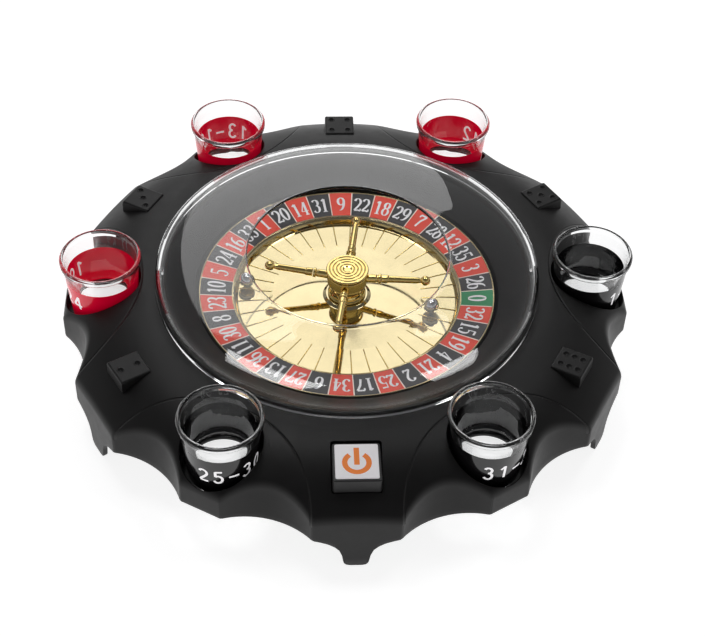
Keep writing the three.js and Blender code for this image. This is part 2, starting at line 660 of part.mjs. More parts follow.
const contactX = BAY_HALF[0] - GAP;
add('contact_bridge', box(-contactX, -contactX + 0.5, bayY[0] + 1, bayY[1] - 1, 13, 24), steel());
add('contact_positive', box(contactX - 0.5, contactX, BAY_CENTRE_Y + 2.5, bayY[1] - 1, 13, 24), steel());
add('contact_negative', box(contactX - 0.5, contactX, bayY[0] + 1, BAY_CENTRE_Y - 2.5, 13, 24), steel());

// ---- power button -------------------------------------------------------
const button = new THREE.Group();
button.position.set(0, -BUTTON_R, 0);
root.add(button);

function buttonGeometry() {
  const top = BUTTON_TOP_Z - BUTTON_LABEL_T - GAP;
  const shape = new THREE.Shape();
  const h = BUTTON_HALF;
  const round = 1.2;
  shape.moveTo(-h + round, -h);
  shape.lineTo(h - round, -h);
  shape.absarc(h - round, -h + round, round, -Math.PI / 2, 0, false);
  shape.absarc(h - round, h - round, round, 0, Math.PI / 2, false);
  shape.absarc(-h + round, h - round, round, Math.PI / 2, Math.PI, false);
  shape.absarc(-h + round, -h + round, round, Math.PI, 1.5 * Math.PI, false);
  shape.closePath();
  const depth = top - BUTTON_FLANGE_Z;
  const block = new THREE.ExtrudeGeometry(shape, { depth, bevelEnabled: false, curveSegments: 2 });
  const flangeTop = BUTTON_FLANGE_Z + BUTTON_FLANGE_T;
  const f = BUTTON_FLANGE_HALF;
  let body = solid(block.translate(0, 0, BUTTON_FLANGE_Z));
  body = body.add(solid(box(-f, f, -f, f, BUTTON_FLANGE_Z, flangeTop)));
  return toGeometry(body);
}

const labelHalf = BUTTON_LABEL_HALF;
add('power_button', buttonGeometry(), blackPlastic(), button);
add('button_label', box(-labelHalf, labelHalf, -labelHalf, labelHalf,
  BUTTON_TOP_Z - BUTTON_LABEL_T, BUTTON_TOP_Z), finish(0xf0eeee, 0.4), button);
add('switch_plunger', turned([[0, 32.2], [1.6, 32.2], [1.6, BUTTON_FLANGE_Z - GAP],
  [0, BUTTON_FLANGE_Z - GAP]], SMALL), greyPlastic(), button);

const switchBlock = solid(box(-3.1, 3.1, -3.1, 3.1, PCB_TOP_Z + GAP, 33.3));
const switchBody = switchBlock.subtract(disc(2, 30.4, 40, SMALL));
add('tact_switch', toGeometry(switchBody), greyPlastic(), button);

function pcbGeometry() {
  const [hx, hy] = PCB_HALF;
  let body = solid(box(-hx, hx, -hy, hy, PCB_TOP_Z - PCB_T, PCB_TOP_Z));
  for (const side of [-1, 1]) {
    body = body.subtract(disc(1.5, 0, 40, SMALL, side * PCB_POST_X, 0));
  }
  return toGeometry(body);
}

add('switch_board', pcbGeometry(), finish(0x1f6b3a, 0.45), button);
[-1, 1].forEach((side, i) => {
  const z = PCB_TOP_Z - PCB_T - GAP;
  add(`board_screw_${i + 1}`, screw(side * PCB_POST_X, 0, z, 35, 1.2, 2.4, 1.4), steel(), button);
});

// ---- leads --------------------------------------------------------------
function lead(name, color, points) {
  const curve = new THREE.CatmullRomCurve3(points.map((p) => new THREE.Vector3(...p)));
  const section = new THREE.Shape();
  section.absarc(0, 0, WIRE_R, 0, 2 * Math.PI, false);
  const g = new THREE.ExtrudeGeometry(section, { steps: 14, extrudePath: curve, curveSegments: 3 });
  add(name, toGeometry(solid(g)), finish(color, 0.6));
}

lead('lead_battery_switch', 0xb02020, [[31.2, 50, 14], [42, 44, 13], [56, 10, 13], [50, -30, 13],
  [28, -66, 13], [8, -84, 16], [5, -94, 20], [6, -104, 23], [6, -114, 25], [6, -117, 27.2]]);
lead('lead_switch_motor', 0xd0a020, [[-6, -117, 27.2], [-6, -113, 25], [-6, -104, 23], [-5, -94, 20],
  [-4, -82, 16], [10, -62, 13], [28, -36, 13], [37, -17, 13.6], [32.7, -10, 16.15]]);
lead('lead_motor_battery', 0x202020, [[32.7, 10, 16.15], [37, 14, 14], [38, 24, 13], [35, 33, 13],
  [31.2, 35, 14]]);

export default root;
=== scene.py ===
"""Looks for the party roulette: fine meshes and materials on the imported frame.

Lengths are in millimetres in this script and become metres when a mesh is made.
"""
import math

import bmesh
import bpy
import numpy as np
from mathutils import Matrix, Vector


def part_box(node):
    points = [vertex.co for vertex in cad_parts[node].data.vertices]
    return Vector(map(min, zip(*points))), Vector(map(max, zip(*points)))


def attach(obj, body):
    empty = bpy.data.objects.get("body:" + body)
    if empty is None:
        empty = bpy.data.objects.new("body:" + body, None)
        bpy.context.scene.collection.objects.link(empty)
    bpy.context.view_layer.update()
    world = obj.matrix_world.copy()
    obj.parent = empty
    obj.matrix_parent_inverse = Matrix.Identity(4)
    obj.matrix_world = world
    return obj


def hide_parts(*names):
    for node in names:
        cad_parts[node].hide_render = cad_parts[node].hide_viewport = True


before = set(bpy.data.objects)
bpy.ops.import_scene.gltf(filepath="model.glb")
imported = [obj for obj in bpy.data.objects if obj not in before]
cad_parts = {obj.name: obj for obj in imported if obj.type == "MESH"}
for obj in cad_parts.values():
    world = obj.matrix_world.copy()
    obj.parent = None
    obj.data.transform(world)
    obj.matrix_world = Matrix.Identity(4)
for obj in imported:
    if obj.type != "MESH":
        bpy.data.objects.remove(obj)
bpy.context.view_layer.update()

MM = 0.001
rad = math.radians


def box_mm(node):
    lo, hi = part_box(node)
    return np.array(lo) / MM, np.array(hi) / MM


# ---- driving dimensions ----
CORNER_R, CORNER_HALF = 143.5, 8.25
NOSE_R, NOSE_HALF = 142.8, 4.2
SCALLOP_DEPTH = 6.2
SCALLOP_DRAFT = 2.4
SIDE_R = CORNER_R * math.cos(rad(CORNER_HALF))
SKIRT_Z = 18.8
WALL = 2.4
EDGE_R = 6.0
DOME_Z, DOME_R, DOME_FALL = 49.6, 101.7, 0.01003  # level out to DOME_R, then falls as the square
DECK_IN_R, UNDER_IN_R = 99, 103  # where the deck's top and its underside begin
SLEEVE_R, SLEEVE_LOW_Z = 78.4, 28.6  # the wall and floor under the wheel's bowl
GLASS_R = 122.0
WELL_R, WELL_EDGE, WELL_LEDGE_Z = 19.1, 0.6, 27.2
SEAM_CENTRE_R, SEAM_R = 162.7, 60.4
SEAM_WIDTH, SEAM_DEPTH, SEAM_LOW_Z = 0.7, 0.4, 28.5
POST_CIRCLE_R = 87
BUTTON_Y = -120.2
BUTTON_HOLE_HALF, BUTTON_HOLE_CORNER = 11.7, 1.4
DIE, DIE_R, DIE_TOP = 15.8, 121.4, 48.8
RING_IN, RING_OUT = 57.9, 73.7
POCKETS = 37
POCKET = 2 * math.pi / POCKETS
ZERO_AT = rad(353.4)
NUMBERS = [0, 32, 15, 19, 4, 21, 2, 25, 17, 34, 6, 27, 13, 36, 11, 30, 8, 23, 10,
           5, 24, 16, 33, 1, 20, 14, 31, 9, 22, 18, 29, 7, 28, 12, 35, 3, 26]
REDS = {1, 3, 5, 7, 9, 12, 14, 16, 18, 19, 21, 23, 25, 27, 30, 32, 34, 36}
NUMBER_R, DIGIT_H, DIGIT_W, DIGIT_STEP = 65.8, 9.6, 7.6, 4.35
POCKET_LINE_HALF = 0.28 / 66  # half the width of the line between pockets, in radians
TURRET_TURN = rad(-8.8)


# ---- mesh helpers ----
def make(name, verts, faces, mats, body, node=None, mat_index=None, sharp=35):
    """A mesh object from millimetre vertices that rides on a body."""
    mesh = bpy.data.meshes.new(name)
    mesh.from_pydata([tuple(v) for v in np.asarray(verts, float) * MM], [], faces)
    mats = mats if isinstance(mats, (list, tuple)) else [mats]
    for m in mats:
        mesh.materials.append(m)
    if mat_index is not None:
        mesh.polygons.foreach_set("material_index", mat_index)
    obj = bpy.data.objects.new(name, mesh)
    bpy.context.scene.collection.objects.link(obj)
    finish_mesh(obj, sharp)
    return settle(obj, body, node)


def finish_mesh(obj, sharp):
    """Join doubled points, face everything outwards, and shade smooth up to an angle."""
    bm = bmesh.new()
    bm.from_mesh(obj.data)
    bmesh.ops.remove_doubles(bm, verts=bm.verts, dist=1e-7)
    bmesh.ops.recalc_face_normals(bm, faces=bm.faces)
    bm.to_mesh(obj.data)
    bm.free()
    obj.data.shade_smooth()
    obj.data.set_sharp_from_angle(angle=rad(sharp))


def settle(obj, body, node=None):
    """Say which body a piece rides on, which nodes it stands in for."""
    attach(obj, body)
    nodes = [node] if isinstance(node, str) else list(node or [])
    if nodes:
        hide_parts(*nodes)
    return obj


def grid_faces(rows, cols, wrap_rows=False, wrap_cols=False):
    """Quads of a grid of points, closed on itself either way."""
    i = np.arange(rows if wrap_rows else rows - 1)
    j = np.arange(cols if wrap_cols else cols - 1)
    i, j = np.meshgrid(i, j, indexing="ij")
    i2, j2 = (i + 1) % rows, (j + 1) % cols
    quads = np.stack([i * cols + j, i2 * cols + j, i2 * cols + j2, i * cols + j2], -1)
    return quads.reshape(-1, 4).tolist()


def lathe_mesh(profile, steps, centre=(0, 0), start=0.0):
    """Vertices and faces of a profile turned about Z; ends on the axis close with a fan."""
    profile = np.asarray(profile, float)
    on_axis = profile[0, 0] < 1e-6
    turn = start + np.arange(steps) * 2 * math.pi / steps
    ring = profile[1:-1] if on_axis else profile
    x = centre[0] + np.outer(np.cos(turn), ring[:, 0])
    y = centre[1] + np.outer(np.sin(turn), ring[:, 0])
    z = np.tile(ring[:, 1], (steps, 1))
    verts = np.stack([x, y, z], -1).reshape(-1, 3)
    faces = grid_faces(steps, len(ring), wrap_rows=True, wrap_cols=not on_axis)
    if on_axis:
        first, last = len(verts), len(verts) + 1
        ends = [[centre[0], centre[1], profile[0, 1]], [centre[0], centre[1], profile[-1, 1]]]
        verts = np.vstack([verts, ends])
        n = len(ring)
        for k in range(steps):
            k2 = (k + 1) % steps
            faces.append([first, k2 * n, k * n])
            faces.append([last, k * n + n - 1, k2 * n + n - 1])
    return verts, faces


def rounded(points, steps=4):
    """A profile whose points may carry a third value, the radius their corner is rounded to."""
    out = []
    n = len(points)
    for k, p in enumerate(points):
        p0 = np.array(p[:2], float)
        radius = p[2] if len(p) > 2 else 0
        if not radius:
            out.append(p0)
            continue
        a = np.array(points[k - 1][:2], float) - p0
        b = np.array(points[(k + 1) % n][:2], float) - p0
        la, lb = np.linalg.norm(a), np.linalg.norm(b)
        a, b = a / la, b / lb
        half = math.acos(max(-1, min(1, float(a @ b)))) / 2
        reach = min(radius / math.tan(half), la * 0.49, lb * 0.49)
        radius = reach * math.tan(half)
        centre = p0 + (a + b) / np.linalg.norm(a + b) * radius / math.sin(half)
        s, e = p0 + a * reach - centre, p0 + b * reach - centre
        t0, t1 = math.atan2(s[1], s[0]), math.atan2(e[1], e[0])
        turn = (t1 - t0 + math.pi) % (2 * math.pi) - math.pi
        for j in range(steps + 1):
            t = t0 + turn * j / steps
            out.append(centre + radius * np.array([math.cos(t), math.sin(t)]))
    return np.array(out)


def turned(name, points, mats, body, node=None, steps=96, centre=(0, 0),
           round_steps=4, sharp=35):
    """A piece turned about Z from a profile whose corners may be rounded."""
    verts, faces = lathe_mesh(rounded(points, round_steps), steps, centre)
    return make(name, verts, faces, mats, body, node, sharp=sharp)


def polar(r, a):
    return np.array([r * math.cos(a), r * math.sin(a)])


def rounded_square(half, corner, z, steps=6):
    """Points round a square with rounded corners, centred on the power button."""
    pts = []
    for qx, qy, a0 in ((1, -1, -90), (1, 1, 0), (-1, 1, 90), (-1, -1, 180)):
        for j in range(steps + 1):
            a = rad(a0 + 90 * j / steps)
            pts.append([qx * (half - corner) + corner * math.cos(a),
                        BUTTON_Y + qy * (half - corner) + corner * math.sin(a), z])
    return pts


def cut_away(obj, verts, faces, crossing=False):
    """Take a closed tool shape off obj; crossing says that the tool runs through itself."""
    mesh = bpy.data.meshes.new("cutter")
    mesh.from_pydata([tuple(v) for v in np.asarray(verts, float) * MM], [], faces)
    tool = bpy.data.objects.new("cutter", mesh)
    bpy.context.scene.collection.objects.link(tool)
    bm = bmesh.new()
    bm.from_mesh(mesh)
    bmesh.ops.recalc_face_normals(bm, faces=bm.faces)
    bm.to_mesh(mesh)
    bm.free()
    cut = obj.modifiers.new("cut", "BOOLEAN")
    cut.operation, cut.solver, cut.use_self, cut.object = "DIFFERENCE", "EXACT", crossing, tool
    bpy.context.view_layer.update()
    done = bpy.data.meshes.new_from_object(obj.evaluated_get(bpy.context.evaluated_depsgraph_get()))
    obj.modifiers.clear()
    obj.data = done
    bpy.data.objects.remove(tool)


def bevel(obj, width):
    b = obj.modifiers.new("bevel", "BEVEL")
    b.width, b.segments, b.limit_method, b.angle_limit = width * MM, 2, "ANGLE", rad(40)


# ---- materials ----
def srgb(r, g, b):
    """A colour given in 0-255 screen values, as linear values."""
    def lin(c):
        c /= 255
        return c / 12.92 if c <= 0.04045 else ((c + 0.055) / 1.055) ** 2.4
    return (lin(r), lin(g), lin(b), 1)


class Nodes:
    """A small builder for node materials."""

    def __init__(self, name):
        self.mat = bpy.data.materials.new(name)
        self.mat.use_nodes = True
        self.tree = self.mat.node_tree
        self.tree.nodes.clear()
        self.out = self.node("ShaderNodeOutputMaterial")
        self.coords = self.node("ShaderNodeTexCoord")

    def node(self, kind, **props):
        n = self.tree.nodes.new(kind)
        for key, value in props.items():
            setattr(n, key, value)
        return n

    def link(self, a, b):
        self.tree.links.new(a, b)

    def noise(self, scale, detail=3.0, roughness=0.5, stretch=None):
        n = self.node("ShaderNodeTexNoise")
        n.inputs["Scale"].default_value = scale
        n.inputs["Detail"].default_value = detail
        n.inputs["Roughness"].default_value = roughness
        source = self.coords.outputs["Object"]
        if stretch:
            m = self.node("ShaderNodeMapping")
            m.inputs["Scale"].default_value = stretch
            self.link(source, m.inputs["Vector"])
            source = m.outputs["Vector"]
        self.link(source, n.inputs["Vector"])
        return n.outputs["Fac"]

    def ramp(self, value, lo, hi, to_lo, to_hi):
        n = self.node("ShaderNodeMapRange")
        self.link(value, n.inputs["Value"])
        for key, v in (("From Min", lo), ("From Max", hi), ("To Min", to_lo), ("To Max", to_hi)):
            n.inputs[key].default_value = v
        return n.outputs["Result"]

    def mix(self, fac, a, b):
        n = self.node("ShaderNodeMix", data_type="RGBA")
        self.link(fac, n.inputs["Factor"])
        for key, v in (("A", a), ("B", b)):
            sock = [s for s in n.inputs if s.name == key and s.type == "RGBA"][0]
            if isinstance(v, tuple):
                sock.default_value = v
            else:
                self.link(v, sock)
        return [s for s in n.outputs if s.type == "RGBA"][0]

    def math(self, op, a, b=None, c=None):
        n = self.node("ShaderNodeMath", operation=op)
        for k, v in enumerate((a, b, c)):
            if v is None:
                continue
            if isinstance(v, (int, float)):
                n.inputs[k].default_value = v
            else:
                self.link(v, n.inputs[k])
        return n.outputs[0]

    def bump(self, height, strength, distance):
        n = self.node("ShaderNodeBump")
        n.inputs["Strength"].default_value = strength
        n.inputs["Distance"].default_value = distance
        self.link(height, n.inputs["Height"])
        return n.outputs["Normal"]

    def principled(self, **values):
        n = self.node("ShaderNodeBsdfPrincipled")
        for key, v in values.items():
            sock = n.inputs[key.replace("_", " ")]
            if isinstance(v, (int, float, tuple)):
                sock.default_value = v
            else:
                self.link(v, sock)
        self.link(n.outputs[0], self.out.inputs["Surface"])
        return n


def tint(c, k):
    return (min(1, c[0] * k), min(1, c[1] * k), min(1, c[2] * k), 1)


def moulded(name, color, rough, grain=0.00003, scuff=0.06, spread=0.12, painted_glow=0.0):
    """Moulded plastic: faint colour drift, uneven gloss and a fine grain. The glow is painted light: an
    emission in the plastic's own colour that brightens the part though it is no lamp.
    """
    m = Nodes(name)
    drift = m.noise(35, 2)
    base = m.mix(m.ramp(drift, 0.35, 0.65, 0, 1), tint(color, 1 - spread), tint(color, 1 + spread))
    fine = m.noise(900, 2)
    gloss = m.ramp(m.noise(140, 4, 0.7), 0.3, 0.7, rough - scuff, rough + scuff)
    # painted light: the emission strength is the painted glow
    m.principled(Base_Color=base, Roughness=gloss, Emission_Color=color, Emission_Strength=painted_glow,
                 Normal=m.bump(fine, 0.6, grain))
    return m.mat


def metal(name, color, rough, grain=0.000004, spread=0.05, scale=300, stretch=None):
    """Polished or brushed metal with faint smears and micro-scratches."""
    m = Nodes(name)
    smear = m.noise(60, 4, 0.6)
    base = m.mix(m.ramp(smear, 0.3, 0.7, 0, 1), tint(color, 1 - spread), tint(color, 1 + spread))
    gloss = m.ramp(m.noise(90, 5, 0.7), 0.3, 0.7, max(0.01, rough - 0.03), rough + 0.03)
    m.principled(Base_Color=base, Metallic=1.0, Roughness=gloss,
                 Normal=m.bump(m.noise(scale, 3, 0.6, stretch), 0.5, grain))
    return m.mat


def clear(name, color, ior):
    """Clear glass or plastic that refracts, and lets lamps' light straight through."""
    m = Nodes(name)
    solid = m.node("ShaderNodeBsdfPrincipled")
    solid.inputs["Base Color"].default_value = color
    solid.inputs["Transmission Weight"].default_value = 1.0
    solid.inputs["IOR"].default_value = ior
    m.link(m.ramp(m.noise(45, 4, 0.65), 0.5, 0.75, 0.0, 0.02), solid.inputs["Roughness"])
    m.link(m.bump(m.noise(30, 2), 0.3, 0.00002), solid.inputs["Normal"])
    through = m.node("ShaderNodeBsdfTransparent")
    through.inputs["Color"].default_value = color
    path = m.node("ShaderNodeLightPath")
    whole = m.node("ShaderNodeMixShader")
    m.link(path.outputs["Is Shadow Ray"], whole.inputs[0])
    m.link(solid.outputs[0], whole.inputs[1])
    m.link(through.outputs[0], whole.inputs[2])
    m.link(whole.outputs[0], m.out.inputs["Surface"])
    return m.mat


def shell_black():
    """The body's satin black, with the seam lines round each glass pressed into its top."""
    m = Nodes("body_black")
    color = srgb(18, 17, 17)
    base = m.mix(m.ramp(m.noise(35, 2), 0.35, 0.65, 0, 1), tint(color, 0.85), tint(color, 1.15))
    xyz = m.node("ShaderNodeSeparateXYZ")
    m.link(m.coords.outputs["Object"], xyz.inputs[0])
    x, y, z = xyz.outputs
    angle = m.math("ARCTAN2", y, x)
    step = 2 * math.pi / 6
    nearest = m.math("MULTIPLY", m.math("ROUND", m.math("DIVIDE", angle, step)), step)
    folded = m.math("SUBTRACT", angle, nearest)
    r = m.math("SQRT", m.math("ADD", m.math("MULTIPLY", x, x), m.math("MULTIPLY", y, y)))
    along = m.math("SUBTRACT", m.math("MULTIPLY", r, m.math("COSINE", folded)), SEAM_CENTRE_R * MM)
    across = m.math("MULTIPLY", r, m.math("SINE", folded))
    dist = m.math("SQRT", m.math("ADD", m.math("MULTIPLY", along, along),
                                 m.math("MULTIPLY", across, across)))
    off = m.math("ABSOLUTE", m.math("SUBTRACT", dist, SEAM_R * MM))
    seam = m.ramp(off, 0.0, SEAM_WIDTH * MM, 0, 1)
    below = m.math("LESS_THAN", z, SEAM_LOW_Z * MM)
    seam = m.math("MAXIMUM", seam, below)
    fine = m.math("MULTIPLY", m.noise(900, 2), 0.001)
    height = m.math("ADD", seam, fine)
    gloss = m.ramp(m.noise(140, 4, 0.7), 0.3, 0.7, 0.40, 0.48)
    m.principled(Base_Color=base, Roughness=gloss, Specular_IOR_Level=0.28,
                 Normal=m.bump(height, 1.0, SEAM_DEPTH * MM))
    return m.mat


BLACK = shell_black()
BLACK_PLAIN = moulded("button_black", srgb(20, 19, 20), 0.4)
GREY = moulded("base_grey", srgb(46, 46, 48), 0.55, 0.00006)
GOLD = metal("gold", (0.95, 0.72, 0.28, 1), 0.05)
GOLD_PLATE = metal("gold_plate", (0.72, 0.61, 0.36, 1), 0.06)
STEEL_BALL = metal("ball_steel", (0.78, 0.78, 0.80, 1), 0.04)
STEEL = metal("steel", (0.55, 0.56, 0.58, 1), 0.28, 0.00001, 0.1, 500)
CAN = metal("motor_can", (0.5, 0.51, 0.53, 1), 0.35, 0.00001, 0.08, 400, (1, 1, 8))
NICKEL = metal("nickel", (0.66, 0.63, 0.58, 1), 0.25)
BRASS = metal("bush_brass", (0.62, 0.42, 0.18, 1), 0.3)
COVER = clear("clear_cover", (0.985, 0.99, 0.99, 1), 1.49)
CLEAR = clear("glass_clear", (0.98, 0.985, 0.985, 1), 1.5)
# painted light: the red paint glows a little, to brighten it where it is seen from inside the glass
RED_PAINT = moulded("glass_red", srgb(215, 0, 45), 0.12, 0.0000002, 0.03, 0.06, painted_glow=0.22)
BLACK_PAINT = moulded("glass_black", srgb(14, 13, 14), 0.1, 0.0000002, 0.03, 0.06)
WHITE_INK = moulded("white_ink", srgb(240, 238, 240), 0.4, 0.000004, 0.05, 0.02)
# painted light: the glasses' white numbers glow, so they read bright outside and through the glass
GLASS_INK = moulded("glass_ink", srgb(240, 238, 240), 0.4, 0.0000002, 0.05, 0.02, painted_glow=0.35)
# painted light: the button's white label glows a little, to lift its brightness
LABEL = moulded("button_white", srgb(246, 243, 245), 0.35, 0.000006, 0.05, 0.02, painted_glow=0.12)
# painted light: the orange power symbol glows a little, to lift its brightness
ORANGE = moulded("orange_ink", srgb(246, 128, 14), 0.4, 0.000004, 0.05, 0.04, painted_glow=0.1)
POCKET_RED = moulded("pocket_red", srgb(235, 66, 40), 0.35, 0.000006, 0.06, 0.05)
POCKET_BLACK = moulded("pocket_black", srgb(40, 37, 40), 0.35, 0.000006, 0.06, 0.08)
POCKET_GREEN = moulded("pocket_green", srgb(24, 140, 84), 0.35, 0.000006, 0.06, 0.05)
POCKET_LINE = moulded("pocket_line", srgb(244, 226, 214), 0.35, 0.000006, 0.05, 0.03)
NYLON = moulded("gear_white", srgb(226, 222, 212), 0.45)
BOARD = moulded("board_green", srgb(30, 98, 52), 0.35, spread=0.2)
CELL = moulded("cell_wrap", srgb(58, 112, 84), 0.3, spread=0.1)
LEAD_RED = moulded("lead_red", srgb(170, 36, 36), 0.5)
LEAD_YELLOW = moulded("lead_yellow", srgb(206, 160, 36), 0.5)
LEAD_BLACK = moulded("lead_black", srgb(24, 24, 26), 0.5)


# ---- body outline and dome ----
def scallop_amount(theta):
    """0 on the straight sides and noses, up to 1 in the middle of a scallop."""
    t = np.abs((theta + math.pi / 6) % (math.pi / 3) - math.pi / 6)
    lo, hi = rad(NOSE_HALF), rad(30 - CORNER_HALF)
    s = np.clip((t - lo) / (hi - lo), 0, 1)
    return 4 * s * (1 - s)


def outline_r(theta):
    """The bottom outline's distance from the axis, with its corners slightly softened."""
    def raw(th):
        t = np.abs((th + math.pi / 6) % (math.pi / 3) - math.pi / 6)
        nose, corner = polar(NOSE_R, rad(NOSE_HALF)), polar(CORNER_R, rad(30 - CORNER_HALF))
        middle = (nose + corner) / 2
        chord = np.linalg.norm(corner - nose)
        arc_r = (chord ** 2 / 4 + SCALLOP_DEPTH ** 2) / (2 * SCALLOP_DEPTH)
        reach = np.linalg.norm(middle)
        centre = middle * (1 + (arc_r - SCALLOP_DEPTH) / reach)
        along = np.cos(t) * centre[0] + np.sin(t) * centre[1]
        off2 = np.maximum(centre @ centre - along ** 2, 0)
        scallop = along - np.sqrt(np.maximum(arc_r ** 2 - off2, 0))
        flat = NOSE_R * math.cos(rad(NOSE_HALF)) / np.cos(t)
        side = SIDE_R / np.cos(math.pi / 6 - t)
        return np.where(t < rad(NOSE_HALF), flat, np.where(t > rad(30 - CORNER_HALF), side, scallop))
    spread = rad(0.35)
    return sum(raw(theta + k * spread) for k in (-1, -0.5, 0, 0.5, 1)) / 5 - 0.03


def dome(r):
    """Height of the deck at a distance from the axis."""
    return DOME_Z - DOME_FALL * np.maximum(0, r - DOME_R) ** 2


def wall_r(theta, z):
    """The side wall's distance from the axis: the scallops lean in as they rise."""
    return outline_r(theta) - SCALLOP_DRAFT * scallop_amount(theta) * (z - SKIRT_Z) / 16


def edge_arc(theta, radius=EDGE_R):
    """For each direction: where the dome meets the rounded edge, the arc's centre and the slope there."""
    lo = np.full_like(theta, 110.0)
    hi = outline_r(theta)
    for _ in range(40):
        rt = (lo + hi) / 2
        slope = np.arctan(2 * DOME_FALL * np.maximum(0, rt - DOME_R))
        rc = rt - radius * np.sin(slope)
        zc = dome(rt) - radius * np.cos(slope)
        inside = rc < wall_r(theta, zc) - radius
        lo, hi = np.where(inside, rt, lo), np.where(inside, hi, rt)
    return rt, rc, zc, slope


def surface_z(x, y):
    """Height of the body's top at a point, including its rounded edge."""
    r, theta = np.hypot(x, y), np.arctan2(y, x)
    rt, rc, zc, _ = edge_arc(theta)
    over = np.clip(r - rc, 0, EDGE_R * 0.999)
    return np.where(r <= rt, dome(r), zc + np.sqrt(EDGE_R ** 2 - over ** 2))


def leg_bottom(theta):
    """Height of the skirt's lower edge: it dips into a leg in the middle of each straight side."""
    t = (theta % (math.pi / 3)) - math.pi / 6
    half = np.abs(SIDE_R * np.tan(t))
    xs = [0, 2.8, 4.6, 5.6, 6.0, 6.6, 7.9, 10.2, 13.2, 17.0, 20.6, 30]
    zs = [0.0, 0.0, 0.5, 1.7, 3.4, 7.4, 11.2, 13.9, 16.0, 17.6, 18.8, 18.8]
    return np.interp(half, xs, zs)


def shell_angles():
    """Directions to sample: even all round, and closer where the legs' edges stand."""
    even = np.arange(0, 60, 0.4)
    beside = np.array([-1, 1])[:, None] * np.linspace(2.6, 8.2, 22)
    legs = np.degrees(np.arctan(beside / SIDE_R)).ravel() + 30
    corners = np.array([NOSE_HALF, 60 - NOSE_HALF, 30 - CORNER_HALF, 30 + CORNER_HALF])
    close = np.concatenate([corners + d for d in (-0.5, -0.3, -0.15, 0, 0.15, 0.3, 0.5)])
    one = np.unique(np.round(np.concatenate([even, legs, close]) % 60, 3))
    return np.radians(np.concatenate([one + 60 * k for k in range(6)]))


def build_shell():
    """The black body as one closed skin, with the wells and the button's hole cut through."""
    theta = shell_angles()
    n = len(theta)
    rt, rc, zc, slope = edge_arc(theta)
    rows = []

    def ring(r, z):
        rows.append((np.broadcast_to(r, (n,)), np.broadcast_to(z, (n,))))

    bowl = rounded([[4.4, 33.6], [7.0, 33.6, 0.5], [7.6, 30.8, 0.6], [75.4, 30.8, 2.5],
                    [76.2, 40.6, 1.2], [90.7, 49.0, 1.5], [91.6, 51.0, 0.6], [93.2, 51.0, 0.6],
                    [93.5, 49.6, 0.4], [DECK_IN_R, 49.6]])
    for r, z in bowl:
        ring(r, z)
    for s in np.linspace(0.04, 1, 26):
        r = DECK_IN_R + (rt - DECK_IN_R) * s
        ring(r, dome(r))
    for s in np.linspace(0, 1, 9)[1:]:
        a = (math.pi / 2 - slope) * (1 - s)
        ring(rc + EDGE_R * np.cos(a), zc + EDGE_R * np.sin(a))
    low = leg_bottom(theta)
    outer = outline_r(theta)
    for s in np.linspace(0, 1, 7)[1:]:
        z = zc + (low + 0.5 - zc) * s
        ring(np.where(z > SKIRT_Z, wall_r(theta, z), outer), z)
    ring(outer - 0.15, low + 0.15)
    ring(outer - 0.5, low)
    ring(outer - WALL + 0.4, low)
    ring(outer - WALL, low + 0.3)
    inner_top = dome(outer - WALL - 3) - 4.2
    ring(outer - WALL, np.maximum(low + 1.0, SKIRT_Z))
    ring(wall_r(theta, inner_top) - WALL, inner_top)
    r = rc - 1.0
    ring(r, dome(r) - 2.2)
    for s in (0.75, 0.5, 0.25, 0.0):
        r = UNDER_IN_R + (rc - 1 - UNDER_IN_R) * s
        ring(r, dome(r) - 2.2)
    for r, z in [[95.6, 47.4], [SLEEVE_R, 39.4], [SLEEVE_R, SLEEVE_LOW_Z], [4.4, SLEEVE_LOW_Z]]:
        ring(r, z)
    r = np.stack([a for a, _ in rows], 1)
    z = np.stack([b for _, b in rows], 1)
    verts = np.stack([r * np.cos(theta)[:, None], r * np.sin(theta)[:, None], z], -1).reshape(-1, 3)
    faces = grid_faces(n, r.shape[1], wrap_rows=True, wrap_cols=True)
    shell = make("body_shell", verts, faces, BLACK, "base", "upper_shell", sharp=32)
    cutters = []
    for k in range(6):
        x, y = polar(GLASS_R, rad(60 * k))
        v, f = lathe_mesh([[0, 5], [WELL_R + WELL_EDGE, 5], [WELL_R + WELL_EDGE, 80], [0, 80]], 160, (x, y))
        cutters.append((v, f))
    half, corner = BUTTON_HOLE_HALF, BUTTON_HOLE_CORNER
    v = rounded_square(half, corner, 5, 4) + rounded_square(half, corner, 80, 4)
    m = len(v) // 2
    f = [[k, (k + 1) % m, (k + 1) % m + m, k + m] for k in range(m)]
    f += [list(range(m))[::-1], list(range(m, 2 * m))]
    cutters.append((v, f))
    tool_v, tool_f = [], []
    for v, f in cutters:
        base = len(tool_v)
        tool_v += [tuple(p) for p in v]
        tool_f += [[i + base for i in face] for face in f]
    cut_away(shell, tool_v, tool_f)
    shell.data.shade_smooth()
    shell.data.set_sharp_from_angle(angle=rad(32))


